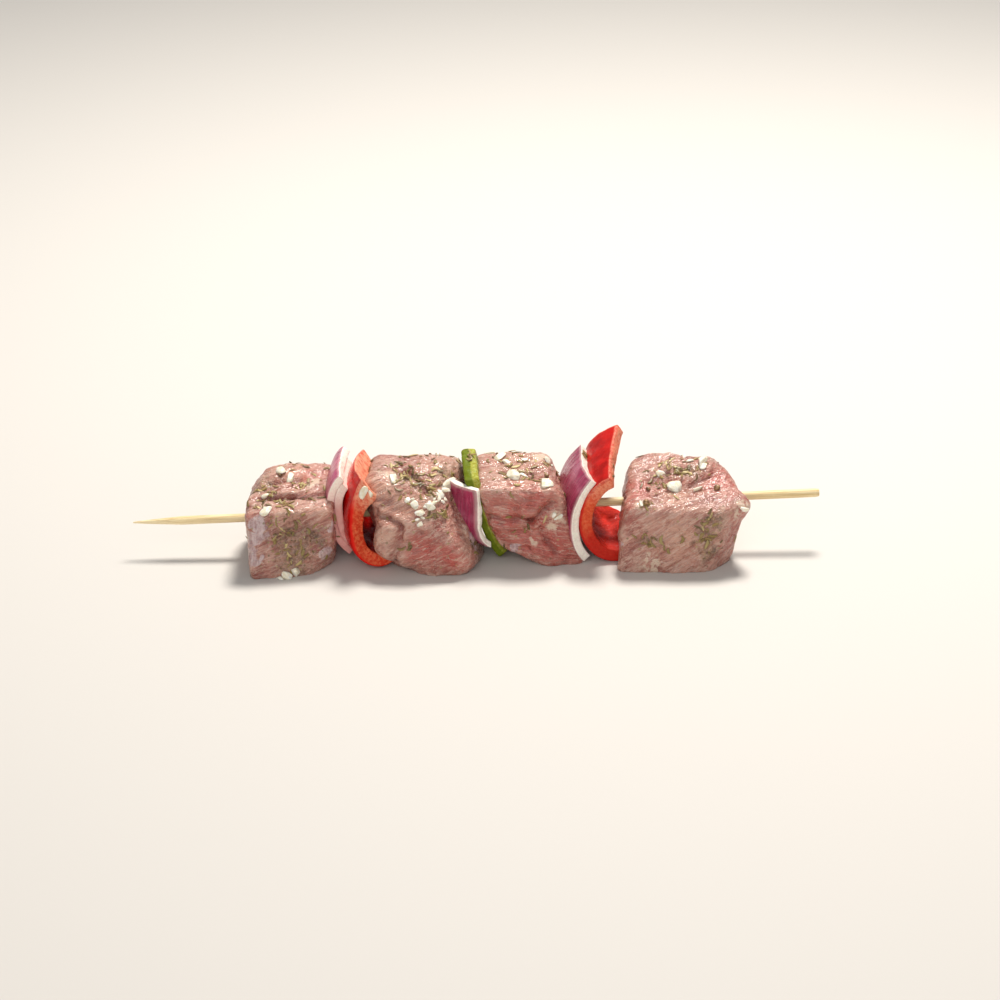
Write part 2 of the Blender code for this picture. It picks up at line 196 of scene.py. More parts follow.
# Vegetable pieces. Each is threaded at x, and reaches up, down, front and back from the skewer.
# The outer side faces -X. bend is how far it curls towards +X at its upper and lower end, curl
# how late that curl comes. bow is how far the edges curl towards +X: the front and the back edge
# at the upper end, then at the lower end. corner is how far the ends round off, narrow how much
# of the breadth is lost at the lower end, inward how far an inner layer lies inside. edge is how
# round its edges are, ragged how uneven the cut is, wavy how uneven the two sides are, flare how
# much thicker it is at its upper end, bevel how much lower that end is on the inner side, and rib
# how far the wall swells inwards there. What a piece leaves out is as in PLAIN_SHAPE.
OWN_SHAPES = {
    "onion_1": {
        "x": -53.6, "thickness": 2.6, "up": (19.8, 22.4), "down": (13.8, 13.2),
        "front": 10.0, "back": 15.5, "bend": (66, 42), "curl": (2.0, 1.0),
        "bow": (1.2, 1.4, 1.2, 1.4), "yaw": -2, "lean": -9,
        "corner": 0.16, "edge": 0.55, "ragged": 0.35, "wavy": 0.15, "flare": 0.35,
    },
    "onion_1_inner": {
        "x": -53.6, "thickness": 2.9, "up": (18.2, 20.4), "down": (12.8, 12.2),
        "front": 9.4, "back": 14.0, "bend": (60, 38), "curl": (2.0, 1.0),
        "bow": (1.2, 1.4, 1.2, 1.4), "yaw": -2, "lean": -9,
        "corner": 0.2, "inward": 2.75, "edge": 0.55, "ragged": 0.35, "wavy": 0.15, "flare": 0.35,
    },
    "red_pepper_1": {
        "x": -47.7, "thickness": 5.2, "up": (19.4, 20.0), "down": (21.2, 19.2),
        "front": 15.6, "back": 14.5, "bend": (34, 134), "curl": (1.0, 1.7),
        "bow": (3.4, 3.2, 4.2, 7.0), "lean": 1, "tilt": -4,
        "corner": 0.06, "edge": 0.8, "ragged": 0.4, "wavy": 0.5, "flare": 0.3, "bevel": 6.0, "rib": 5.0,
    },
    "onion_2": {
        "x": -10.2, "thickness": 2.4, "up": (14.2, 12.0), "down": (10.8, 8.0),
        "front": 16.0, "back": 4.5, "bend": (0, 60),
        "bow": (7.7, 0.4, 7.7, 0.4), "yaw": 12, "lean": 0,
        "corner": 0.04, "narrow": 0.2, "edge": 0.45, "ragged": 0.3, "wavy": 0.15,
    },
    "green_pepper": {
        "x": 2.6, "thickness": 4.2, "up": (17.6, 21.0), "down": (16.4, 14.0),
        "front": 11.0, "back": 12.0, "bend": (0, 18), "curl": (1.0, 1.2),
        "bow": (0.0, 0.4, 0.0, 0.4), "lean": -17,
        "corner": 0.08, "edge": 0.9, "ragged": 0.5, "wavy": 0.35, "flare": 0.25, "bevel": 1.0,
    },
    "onion_3": {
        "x": 32.0, "thickness": 3.5, "up": (17.0, 19.4), "down": (18.0, 15.0),
        "front": 14.0, "back": 14.0, "bend": (44, 50), "curl": (1.0, 1.3),
        "bow": (3.2, 0.8, 3.2, 0.8), "yaw": 2, "lean": 4,
        "corner": 0.08, "edge": 0.5, "ragged": 0.25, "wavy": 0.15,
    },
    "red_pepper_2": {
        "x": 38.2, "thickness": 5.0, "up": (18.0, 29.6), "down": (27.0, 24.0),
        "front": 13.6, "back": 16.6, "bend": (67, 120), "curl": (1.1, 1.3),
        "bow": (1.6, 0.4, 1.6, 10.0), "lean": 2,
        "corner": 0.06, "edge": 0.8, "ragged": 0.35, "wavy": 0.55,
    },
}
PLAIN_SHAPE = {
    "curl": (1.0, 1.0), "yaw": 0, "tilt": 0, "narrow": 0, "inward": 0, "flare": 0, "bevel": 0, "rib": 0,
}
VEGETABLES = {name: PLAIN_SHAPE | own for name, own in OWN_SHAPES.items()}

# Which vegetables press into which piece, and on which side of it they stand.
PRESSES = {
    "beef_1": {"onion_1": "right"},
    "beef_2": {"red_pepper_1": "around", "onion_2": "around", "green_pepper": "right"},
    "beef_3": {"green_pepper": "left", "onion_3": "right"},
    "beef_4": {"red_pepper_2": "around"},
    "green_pepper": {"onion_2": "around"},
    "onion_1": {"red_pepper_1": "right"},
    "onion_1_inner": {"red_pepper_1": "right"},
    "onion_3": {"red_pepper_2": "right"},
}

# Chopped garlic on each block: azimuth, elevation, length.
GARLIC = {
    "beef_1": [
        (239, 33, 4.2), (234, 36, 2.2), (95, 68, 3.6), (266, -34, 4.4), (275, -33, 3.2),
        (258, -35, 3.0), (200, 50, 2.4),
    ],
    "beef_2": [
        (197, 51, 4.4), (188, 54, 2.2), (350, 60, 4.2), (336, 63, 2.0), (326, 58, 3.0),
        (306, 60, 1.6), (303, 54, 2.8), (294, 55, 1.8), (292, 47, 3.2), (283, 47, 1.6),
        (281, 41, 2.4), (273, 41, 1.5), (272, 35, 3.2), (264, 36, 1.4), (262, 29, 2.0),
        (256, 27, 3.0), (262, 22, 1.4), (256, 20, 2.0), (259, 14, 2.8), (249, 37, 2.6),
        (243, 43, 1.6), (252, 33, 1.4), (236, 40, 2.0), (310, 45, 1.6), (299, 42, 1.4),
    ],
    "beef_3": [
        (228, 66, 5.4), (212, 68, 3.0), (138, 52, 4.6), (150, 62, 3.0), (298, 49, 4.2),
        (250, 74, 2.6), (306, 10, 2.6), (301, 15, 2.2), (98, 66, 2.6),
    ],
    "beef_4": [
        (252, 73, 6.0), (262, 67, 4.2), (246, 68, 2.6), (34, 54, 5.6), (22, 56, 3.4),
        (55, 58, 3.0), (324, 53, 3.6), (222, 28, 2.4), (332, 15, 2.6), (150, 66, 3.0),
    ],
}

# Garlic on the cut edges of vegetables: vegetable, places up and across from -1 to 1, millimetres
# in from the middle, length. Herbs there have the millimetres of their spread and their number.
EDGE_GARLIC = [
    ("red_pepper_1", 0.84, -1.0, -0.9, 4.0), ("red_pepper_1", 0.92, -1.0, 0.2, 2.2),
    ("green_pepper", 0.55, -1.0, -0.6, 2.2), ("onion_2", 1.0, -0.2, 0.4, 2.0),
]
EDGE_HERBS = [
    ("red_pepper_1", 1.0, -0.6, 0.8, 1.4, 5), ("onion_3", 1.0, 0.62, 0.0, 1.2, 7),
    ("green_pepper", 1.0, 0.3, 0.2, 1.3, 8), ("red_pepper_2", 1.0, -0.5, 0.0, 2.0, 3),
    ("onion_1", 0.2, -1.0, 0.3, 3.0, 4),
]

# Herbs gathered on each block: azimuth, elevation, spread in degrees, number of flakes.
HERBS = {
    "beef_1": [
        (222, 44, 9, 12), (200, 62, 16, 20), (40, 66, 14, 14), (336, 50, 10, 12), (80, 52, 18, 16),
        (264, 12, 16, 18), (284, -6, 16, 18), (270, -24, 12, 12), (250, 50, 12, 12), (104, 4, 18, 12),
    ],
    "beef_2": [
        (160, 54, 12, 14), (190, 66, 12, 18), (240, 66, 9, 14), (20, 70, 12, 12), (286, 30, 7, 9),
        (244, -12, 6, 5), (318, -18, 6, 4), (230, 44, 12, 8), (80, 58, 24, 20), (280, 60, 10, 8),
        (92, 18, 14, 12),
    ],
    "beef_3": [
        (216, 60, 12, 14), (240, 82, 14, 14), (138, 58, 14, 12), (300, 56, 10, 6), (260, -4, 16, 5),
        (80, 60, 24, 16), (112, -10, 14, 10),
    ],
    "beef_4": [
        (176, 62, 10, 16), (110, 72, 12, 16), (30, 64, 10, 16), (294, 4, 7, 14), (306, 14, 6, 8),
        (235, -9, 6, 9), (226, 32, 8, 6), (300, -14, 7, 8), (70, 60, 22, 16), (258, -30, 12, 5),
        (76, 6, 15, 12),
    ],
}
STRAY_HERBS = 26
BACK_GARLIC = 5
HERB_LENGTH = (0.8, 4.0)
HERB_WIDTH = (0.45, 1.05)

# Brown seeds of the marinade: block, azimuth, elevation, thickness.
SEEDS = [
    ("beef_4", 342, 38, 2.6), ("beef_4", 225, 31, 2.4), ("beef_4", 205, 46, 1.8),
    ("beef_2", 268, 66, 1.8), ("beef_3", 320, 60, 1.8), ("beef_1", 120, 62, 1.8),
    ("beef_4", 84, 40, 2.0), ("beef_2", 92, 34, 1.8),
]


# Shapes.


def facing(azimuth, elevation):
    """Unit vector: (cos a cos e, sin a cos e, sin e)."""
    a, e = np.radians(azimuth), np.radians(elevation)
    return np.stack([np.cos(a) * np.cos(e), np.sin(a) * np.cos(e), np.sin(e)], axis=-1)


def unit(vectors):
    """The vectors divided by their lengths."""
    return vectors / np.linalg.norm(vectors, axis=-1, keepdims=True)


def skewer_point(x):
    """The point of the skewer's axis at x: a straight line that rises evenly."""
    return np.array([x, SKEWER_Y, SKEWER_HEIGHT + SKEWER_RISE * x / SKEWER_LENGTH])


def uneven(points, cell, seed):
    """Unevenness from -1 to 1: seeded values at the corners of a cubic lattice with that cell,
    eased between the corners by 3 t^2 - 2 t^3 along each axis."""
    scaled = points / cell
    low = np.floor(scaled).astype(np.int64)
    share = scaled - low
    share = share * share * (3 - 2 * share)
    total = np.zeros(len(points))
    for corner in range(8):
        step = np.array([corner & 1, corner >> 1 & 1, corner >> 2])
        mixed = (low + step) @ np.array([374761393, 668265263, 1440662683]) + seed * 1013904223
        mixed = (mixed ^ (mixed >> 13)) * 1274126177
        value = ((mixed ^ (mixed >> 16)) & 0xFFFFF) / 0x7FFFF - 1
        total += value * np.where(step, share, 1 - share).prod(axis=1)
    return total


def layered(points, cell, seed, layers=3):
    """uneven() summed over layers, each with half the cell and half the height of the last."""
    heights = 0.5 ** np.arange(layers)
    parts = [uneven(points, cell * height, seed + i) * height for i, height in enumerate(heights)]
    return sum(parts) / heights.sum() * 1.4


def ripples(points, seed, wavelength):
    """Gentle unevenness, from -1 to 1: a sum of six sine waves that run in seeded directions."""
    draw = np.random.default_rng(seed)
    ways = unit(draw.normal(size=(6, 3)))
    lengths = wavelength * draw.uniform(0.7, 1.5, 6)
    starts = draw.uniform(0, math.tau, 6)
    return np.sin(points @ ways.T * math.tau / lengths + starts).mean(axis=1) * 1.6


def angle_between(ways, azimuth, elevation):
    """Degrees between each way and one place: the arc cosine of their dot product."""
    return np.degrees(np.arccos(np.clip(ways @ facing(azimuth, elevation), -1, 1)))


def angle_to_arc(ways, start, end):
    """Degrees from each way to the nearest point of the great arc between two places: the way's
    turn within the arc's plane is kept between the two ends, and the rest is measured."""
    first, last = facing(*start), facing(*end)
    across = unit(last - (first @ last) * first)
    turn = np.arctan2(ways @ across, ways @ first)
    turn = np.clip(turn, 0, math.acos(float(first @ last)))
    nearest = np.cos(turn)[:, None] * first + np.sin(turn)[:, None] * across
    return np.degrees(np.arccos(np.clip((ways * nearest).sum(axis=1), -1, 1)))


def patches(ways, rows):
    """A mask from 0 to 1: the highest of the patches' bells, exp(-(degrees / spread)^2)."""
    mask = np.zeros(len(ways))
    for azimuth, elevation, spread in rows:
        mask = np.maximum(mask, np.exp(-((angle_between(ways, azimuth, elevation) / spread) ** 2)))
    return mask


def block_radius(ways, block):
    """How far the block reaches from its centre along each way, and how near each way is to an
    edge. The cuts give reach over the cosine to each cut; their p-norm rounds the edges. The
    edge share is 1 where two cuts count the same, 0 where one does. Lumps are added as bells."""
    p = block["crispness"]
    terms = [
        (np.clip(ways @ facing(azimuth, elevation), 0, None) / reach) ** p
        for azimuth, elevation, reach in block["cuts"]
    ]
    total = np.sum(terms, axis=0)
    radius = total ** (-1 / p)
    for azimuth, elevation, spread, height in block["lumps"]:
        away = angle_between(ways, azimuth, elevation)
        radius += height * np.exp(-((away / spread) ** 2))
    return radius, np.clip(2 - 2 * np.max(terms, axis=0) / total, 0, 1)


def along_fibre(points, block, stretch):
    """The points squeezed along the block's fibres by stretch, so that what is even in them
    becomes threads in the meat."""
    fibre = facing(*block["fibre"])
    return points - (points @ fibre)[:, None] * fibre * (1 - 1 / stretch)


def seed_of(name):
    """A piece's own seed: the sum of its letters' codes."""
    return sum(map(ord, name))


def rippled_radius(ways, name):
    """block_radius() with the block's slow ripples, and the edge share."""
    block = BEEF[name]
    radius, edge = block_radius(ways, block)
    slow = ripples(ways * radius[:, None], seed_of(name), RIPPLE_LENGTH)
    return radius + block["ripple"] * slow, edge


def block_centre(name):
    return np.array(BEEF[name]["centre"]) + (0, SKEWER_Y, 0)


def meat_surface(ways, name):
    """Points of a block along unit vectors from its centre: the block's own radius, plus ripples,
    soft lumps, ridged threads along the fibres, creases and a pucker round the skewer. What would
    lie under the rest plane stops at it."""
    block = BEEF[name]
    centre = block_centre(name)
    seed = seed_of(name)
    radius, _ = rippled_radius(ways, name)
    rough = centre + ways * radius[:, None]
    paste = patches(ways, block["paste"])
    skin = patches(ways, block["silverskin"])
    threads = 1 - 2 * np.abs(uneven(along_fibre(rough, block, THREAD_STRETCH), 1.7, seed))
    bundles = uneven(along_fibre(rough, block, 4), 4.2, seed + 1)
    relief = THREAD_HEIGHT * threads + BUNDLE_HEIGHT * bundles
    relief *= 1 - 0.75 * skin
    relief += LUMP_HEIGHT * layered(rough, 6.5, seed + 2)
    crumbs = (CRUMB_HEIGHT + PASTE_HEIGHT * paste) * (1 - 0.8 * skin)
    relief += crumbs * layered(rough, 1.5, seed + 5, 2)
    warp = unit(ways + 0.05 * np.stack([uneven(rough, 5, seed + n) for n in (11, 12, 13)], axis=1))
    for start, end, width, depth in block["creases"]:
        away = angle_to_arc(warp, start, end)
        relief -= depth * np.exp(-((away / width) ** 2))
        relief += 0.35 * depth * np.exp(-((away / width - 2) ** 2))
    beside = rough[:, 1:] - np.stack(
        [np.full(len(rough), SKEWER_Y), SKEWER_HEIGHT + SKEWER_RISE * rough[:, 0] / SKEWER_LENGTH],
        axis=1,
    )
    away = np.linalg.norm(beside, axis=1)
    relief += 0.5 * np.exp(-(((away - 5) / 2) ** 2)) - 1.2 * np.exp(-((away / 3) ** 2))
    radius += relief
    ground = np.where(ways[:, 2] < -0.02, centre[2] / np.maximum(-ways[:, 2], 0.02), 1000)
    return centre + ways * np.minimum(radius, ground)[:, None]


def box_faces(cells):
    """The surface of a box cut into cells along its three axes: each corner once, from -1 to 1
    along each axis, and four-sided faces that look outwards."""
    keys, faces, count = [], [], 0
    size = np.array(cells) + 1
    for axis in range(3):
        ways = [axis, (axis + 1) % 3, (axis + 2) % 3]
        a, b = np.meshgrid(np.arange(size[ways[1]]), np.arange(size[ways[2]]), indexing="ij")
        for end in (0, cells[axis]):
            place = np.zeros(a.shape + (3,), np.int64)
            for way, value in zip(ways, (end, a, b)):
                place[..., way] = value
            keys.append((place.reshape(-1, 3) * [size[1] * size[2], size[2], 1]).sum(axis=1))
            index = np.arange(a.size).reshape(a.shape) + count
            ring = [index[:-1, :-1], index[1:, :-1], index[1:, 1:], index[:-1, 1:]]
            ring = ring if end else ring[::-1]
            faces.append(np.stack(ring, axis=-1).reshape(-1, 4))
            count += a.size
    unique, back = np.unique(np.concatenate(keys), return_inverse=True)
    steps = np.stack([unique // (size[1] * size[2]), unique // size[2] % size[1], unique % size[2]])
    return steps.T * 2 / np.array(cells) - 1, back.reshape(-1)[np.concatenate(faces)]


def new_piece(name, points, faces, material=None, attributes=None):
    """A mesh from points in millimetres and faces with equally many corners, shaded smooth."""
    mesh = bpy.data.meshes.new(name)
    corners = faces.shape[1]
    mesh.vertices.add(len(points))
    mesh.vertices.foreach_set("co", (np.asarray(points) * MM).astype(np.float32).ravel())
    mesh.loops.add(faces.size)
    mesh.loops.foreach_set("vertex_index", faces.astype(np.int32).ravel())
    mesh.polygons.add(len(faces))
    mesh.polygons.foreach_set("loop_start", np.arange(0, faces.size, corners, dtype=np.int32))
    mesh.update(calc_edges=True)
    mesh.shade_smooth()
    for key, values in (attributes or {}).items():
        set_attribute(mesh, key, values)
    if material:
        mesh.materials.append(material)
    piece = bpy.data.objects.new(name, mesh)
    bpy.context.scene.collection.objects.link(piece)
    return piece


def set_attribute(mesh, name, values):
    """One number, or a vector of three, for each vertex."""
    values = np.asarray(values, np.float32)
    if values.ndim == 1:
        mesh.attributes.new(name, "FLOAT", "POINT").data.foreach_set("value", values)
    else:
        made = mesh.attributes.new(name, "FLOAT_VECTOR", "POINT")
        made.data.foreach_set("vector", values.ravel())


def vertices_of(piece):
    """The vertices of a piece in millimetres."""
    flat = np.zeros(len(piece.data.vertices) * 3, np.float32)
    piece.data.vertices.foreach_get("co", flat)
    return flat.reshape(-1, 3).astype(float) / MM


def curled_line(share, bend, curl):
    """Sideways, along and turn, on a line of length 1 that turns by bend in all: the turn grows
    with the share to the power curl, and the line is the running sum of its sine and cosine."""
    steps = np.linspace(0, 1.2, 121)
    turned = np.radians(bend) * steps**curl
    middle = (turned[1:] + turned[:-1]) / 2
    sideways = np.concatenate([[0], np.cumsum(np.sin(middle))]) / 100
    along = np.concatenate([[0], np.cumsum(np.cos(middle))]) / 100
    return [np.interp(share, steps, values) for values in (sideways, along, turned)]


def shell_surface(u, v, spec):
    """A vegetable's middle surface. u runs from -1 at its lower end to 1 at its upper end, v from
    -1 at the front edge to 1 at the back. Up and down follow curled_line() times the reach, the
    breadth shrinks by corner |u|^3, the edges bow by v^2, and the whole leans, tilts and turns
    about its own spot on the skewer."""
    back_share = (v + 1) / 2
    along_x, along_z = np.zeros_like(u), np.zeros_like(u)
    for sign, way, number in ((1, "up", 0), (-1, "down", 1)):
        near, far = spec[way]
        side, rise, turned = curled_line(
            np.clip(u * sign, 0, 1.2), spec["bend"][number], spec["curl"][number]
        )
        reach = near + (far - near) * back_share
        here = u * sign >= 0
        along_x = np.where(here, side * reach + spec["inward"] * np.cos(turned), along_x)
        along_z = np.where(here, sign * (rise * reach - spec["inward"] * np.sin(turned)), along_z)
    rounded = 1 - spec["corner"] * np.abs(u) ** 3
    lost = spec["narrow"] * ((1 - u) / 2) ** 2
    breadth = spec["front"] + spec["back"]
    along_y = np.where(v < 0, v * spec["front"], v * spec["back"]) * rounded
    along_y -= lost * back_share * breadth
    upper = np.clip((u + 0.6) / 1.2, 0, 1)
    front_up, back_up, front_down, back_down = spec["bow"]
    front_bow = front_down + (front_up - front_down) * upper
    back_bow = back_down + (back_up - back_down) * upper
    along_x += np.where(v < 0, front_bow, back_bow) * v**2 * rounded**2
    local = np.stack([along_x, along_y, along_z], axis=-1)
    turn = Matrix.Rotation(math.radians(spec["yaw"]), 3, "Z")
    turn = turn @ Matrix.Rotation(math.radians(spec["tilt"]), 3, "X")
    turn = turn @ Matrix.Rotation(math.radians(spec["lean"]), 3, "Y")
    return skewer_point(spec["x"]) + local @ np.array(turn).T


def shell_point(u, v, deep, spec):
    """The middle surface's point, moved by deep millimetres along its normal, which is the cross
    product of its steps across and up, and looks to the inner side."""
    step = 0.002
    across = shell_surface(u, v + step, spec) - shell_surface(u, v - step, spec)
    upward = shell_surface(u + step, v, spec) - shell_surface(u - step, v, spec)
    return shell_surface(u, v, spec) + deep[:, None] * unit(np.cross(across, upward))


def half_sizes(spec):
    """Half of a vegetable's height, breadth and thickness, along its surface."""
    height = (sum(spec["up"]) + sum(spec["down"])) / 4
    breadth = (spec["front"] + spec["back"]) / 2
    return np.array([height, breadth, spec["thickness"] / 2])


def upper_end(u, deep, spec):
    """A vegetable's upper end: the depth grows by flare u^1.5 towards it, the inner side swells by
    rib u^4 and ends lower than the outer side by bevel."""
    rise = np.clip(u, 0, 1)
    inner = (np.clip(deep * 2 / spec["thickness"], -1, 1) + 1) / 2
    shorter = spec["bevel"] / half_sizes(spec)[0] * inner
    deep = deep * (1 + spec["flare"] * rise**1.5) + spec["rib"] * inner * rise**4
    return u - shorter * rise, deep


def room_for(vegetable, side, name):
    """A closed shell round the room that a vegetable takes in another piece, with all that lies
    beyond it on one side. It is the vegetable's box, a little smaller, bent in the same way."""
    spec = VEGETABLES[vegetable]
    even, faces = box_faces(ROOM_CELLS)
    u, v, w = even.T
    half = spec["thickness"] / 2 - SINK
    reach_in = half + (BEYOND if side == "right" else 0)
    reach_out = half + (BEYOND if side == "left" else 0)
    deep = np.where(w > 0, w * reach_in, w * reach_out)
    size = half_sizes(spec)
    u, deep = upper_end(u * (1 - SINK / size[0]), deep, spec)
    points = shell_point(u, v * (1 - SINK / size[1]), deep, spec)
    return new_piece(name, points, faces)


def cut_rooms(piece, name, sharp_angle):
    """Cuts out of a piece the room of every vegetable that presses into it."""
    rooms = []
    for vegetable, side in PRESSES.get(name, {}).items():
        room = room_for(vegetable, side, f"{name}_{vegetable}_room")
        cut = piece.modifiers.new(vegetable, "BOOLEAN")
        cut.operation = "DIFFERENCE"
        cut.solver = "MANIFOLD"
        cut.object = room
        rooms.append(room)
    if rooms:
        graph = bpy.context.evaluated_depsgraph_get()
        graph.update()
        whole = piece.data
        piece.data = bpy.data.meshes.new_from_object(piece.evaluated_get(graph))
        piece.modifiers.clear()
        bpy.data.meshes.remove(whole)
        for room in rooms:
            bpy.data.objects.remove(room)
    piece.data.shade_smooth()
    piece.data.set_sharp_from_angle(angle=math.radians(sharp_angle))


def make_beef(name, material):
    """A ball's surface whose corners move to meat_surface(). Its attributes hold the place
    along the fibres, and the share of fat, of herb paste and of silverskin, then of red, pale
    and edge, and how far the surface is sunk below the plain block."""
    ways, faces = ball_faces(BLOCK_CELLS)
    piece = new_piece(name, meat_surface(ways, name), faces, material)
    cut_rooms(piece, name, MEAT_EDGE)
    block = BEEF[name]
    points = vertices_of(piece)
    ways = unit(points - block_centre(name))
    wander = np.stack([layered(points, 4, 30 + n) for n in range(3)], axis=1)
    loose = unit(ways + 0.10 * wander)
    reach, edge = rippled_radius(ways, name)
    sunk = np.clip((reach - np.linalg.norm(points - block_centre(name), axis=1)) / 1.2, -1, 1)
    tones = [patches(loose, block[key]) for key in ("fat", "paste", "silverskin", "red", "pale")]
    set_attribute(piece.data, "fibre_place", along_fibre(points, block, THREAD_STRETCH))
    set_attribute(piece.data, "marinade", np.stack(tones[:3], axis=1))
    set_attribute(piece.data, "tone", np.stack([*tones[3:], edge], axis=1))
    set_attribute(piece.data, "sunk", sunk)
    return piece


def make_vegetable(name, material):
    """A box with rounded edges, bent onto the vegetable's surface. Each corner is pulled back to
    the core inside the rounding and pushed out again by the edge radius. The cut edges and the
    two sides are made uneven, and the upper end is shaped by upper_end(). Its attributes hold the
    millimetres along, across and in, the depth from -1 on the skin to 1 inside, and how near a
    cut edge is."""
    spec = VEGETABLES[name]
    seed = seed_of(name)
    size = half_sizes(spec)
    cells = [int(length) for length in 2 * size / VEGETABLE_CELL]
    cells[2] = max(cells[2], 10)
    even, faces = box_faces(cells)
    crowded = 0.6 * even + 0.4 * np.sin(even * math.pi / 2)
    flat = crowded * size
    core = np.clip(flat, -(size - spec["edge"]), size - spec["edge"])
    flat = core + spec["edge"] * unit(flat - core)
    to_edge = np.minimum(size[0] - np.abs(flat[:, 0]), size[1] - np.abs(flat[:, 1]))
    near_edge = np.exp(-((to_edge / 1.5) ** 2))
    pull = spec["ragged"] * layered(flat + seed, 3.5, seed) * near_edge
    u = (flat[:, 0] + np.sign(flat[:, 0]) * pull) / size[0]
    v = (flat[:, 1] + np.sign(flat[:, 1]) * pull) / size[1]
    inner = flat[:, 2] / size[2]
    bumps = layered(flat * [0.5, 1, 0.2], 4.5, seed + 3)
    veins = uneven(flat * [0.06, 1, 0], 0.9, seed + 4) if "onion" in name else 0
    u, deep = upper_end(u, flat[:, 2], spec)
    deep = deep + spec["wavy"] * bumps * (0.35 + 0.65 * (inner > 0)) + 0.05 * veins
    points = shell_point(np.clip(u, -1.1, 1.1), v, deep, spec)
    points[:, 2] = np.maximum(points[:, 2], 0.1)
    layers = {"place": flat, "depth": inner, "cut_edge": near_edge}
    piece = new_piece(name, points, faces, material, layers)
    cut_rooms(piece, name, VEGETABLE_EDGE)
    return piece


def make_skewer(material):
    """A profile turned about the skewer's axis: radius against length, a long cone at the point
    and slightly broken edges at the blunt end. Shallow lengthwise flats are left by splitting."""
    around, length = SKEWER_CELLS
    turn = np.linspace(0, math.tau, around, endpoint=False)
    share = np.linspace(0, 1, length)
    share = np.where(share < 0.25, share**1.5 * 0.5, 0.0625 + (share - 0.25) * 1.25)
    at = share * SKEWER_LENGTH
    point = 0.25 + (SKEWER_DIAMETER / 2 - 0.25) * np.clip(at / SKEWER_POINT, 0, 1) ** 0.85
    blunt = np.minimum(1, 0.86 + 0.14 * np.sqrt(np.clip((SKEWER_LENGTH - at) / 0.3, 0, 1)))
    radius = point * blunt
    along, angle = np.meshgrid(at, turn, indexing="ij")
    flats = 0.035 * np.sin(3 * angle + 1) + 0.02 * np.sin(7 * angle + along / 40)
    grain = np.stack([along.ravel() / 60, np.cos(angle).ravel() * 3, np.sin(angle).ravel() * 3])
    split = 0.03 * uneven(grain.T, 0.5, 5).reshape(along.shape)
    out = radius[:, None] * (1 + 0.6 * (flats + split) / SKEWER_DIAMETER * 2)
    axis = unit(skewer_point(1.0) - skewer_point(0.0))
    side = np.array([0.0, 1.0, 0.0])
    above = np.cross(axis, side)
    start = skewer_point(0) - axis * SKEWER_LENGTH / 2
    ring = np.cos(angle)[..., None] * side + np.sin(angle)[..., None] * above
    points = start + along[..., None] * axis + out[..., None] * ring
    ends = [start, start + axis * SKEWER_LENGTH]
    index = np.arange(length * around).reshape(length, around)
    after = np.roll(index, -1, axis=1)
    wall = np.stack([index[:-1], index[1:], after[1:], after[:-1]], axis=-1).reshape(-1, 4)
    tips = length * around
    point_fan = np.stack([index[0], after[0], np.full(around, tips)], axis=1)
    blunt_fan = np.stack([after[-1], index[-1], np.full(around, tips + 1)], axis=1)
    halves = np.concatenate([wall[:, [0, 1, 2]], wall[:, [0, 2, 3]], point_fan, blunt_fan])
    every = np.concatenate([points.reshape(-1, 3), ends])
    piece = new_piece("skewer_look", every, halves[:, ::-1], material)
    piece.data.set_sharp_from_angle(angle=math.radians(SKEWER_EDGE))
    return piece


def surface_frames(ways, name):
    """For each way: the meat's point, two unit steps along the surface, and its normal."""
    side = unit(np.cross(ways, [0.31, 0.17, 0.93]))
    other = np.cross(ways, side)
    step = 0.03
    here = meat_surface(ways, name)
    first = unit(meat_surface(unit(ways + step * side), name) - here)
    second = unit(meat_surface(unit(ways + step * other), name) - here)
    out = unit(np.cross(first, second))
    out *= np.sign((out * ways).sum(axis=1))[:, None]
    return here, first, unit(np.cross(out, first)), out


def edge_frames(rows):
    """For each spot on a vegetable's cut edge: its point, two unit steps along the cut, and the
    way out, which is the step up at an end and the step across at the front or the back."""
    found = []
    for name, u, v, deep in rows:
        spec = VEGETABLES[name]
        at_end = abs(u) == 1
        u, deep = upper_end(np.array([u, u + 0.02, u]), np.full(3, deep), spec)
        around = shell_point(u, np.array([v, v, v + 0.02]), deep, spec)
        up, across = unit(around[1:] - around[0])
        along, out = (across, up) if at_end else (up, across * np.sign(v))
        found.append([around[0], along, unit(np.cross(out, along)), out])
    return np.array(found).transpose(1, 0, 2)


def on_the_piece(points, piece, within=0.45):
    """Which points still lie on the piece after its rooms were cut."""
    tree = BVHTree.FromObject(piece, bpy.context.evaluated_depsgraph_get())
    return np.array([tree.find_nearest(Vector(p) * MM)[3] < within * MM for p in points])


def scattered_ways(rows, draw):
    """Seeded ways around each place, with a normal spread in degrees."""
    ways = []
    for azimuth, elevation, spread, count in rows:
        middle = facing(azimuth, elevation)
        ways.append(unit(middle + math.radians(spread) * draw.normal(size=(count, 3)) * 0.8))
    return np.concatenate(ways)


def ball_faces(cells):
    """The ways and faces of a ball cut from a cube with that many cells a side."""
    even, faces = box_faces((cells,) * 3)
    return unit(np.tan(even * math.pi / 4)), faces


def placed(template, faces, at, frames):
    """Many copies of a template: its points go through each copy's own three axes to its own
    place. template is copies x points x 3, or one for all."""
    points = np.einsum("cpa,cax->cpx", template, frames) + at[:, None, :]
    shift = np.arange(len(at))[:, None, None] * template.shape[1]
    return points.reshape(-1, 3), (faces[None] + shift).reshape(-1, faces.shape[1])


def turned_frames(first, second, out, turn):
    """Frames whose first two axes are turned by an angle about the third."""
    c, s = np.cos(turn)[:, None], np.sin(turn)[:, None]
    return np.stack([c * first + s * second, c * second - s * first, out], axis=1)


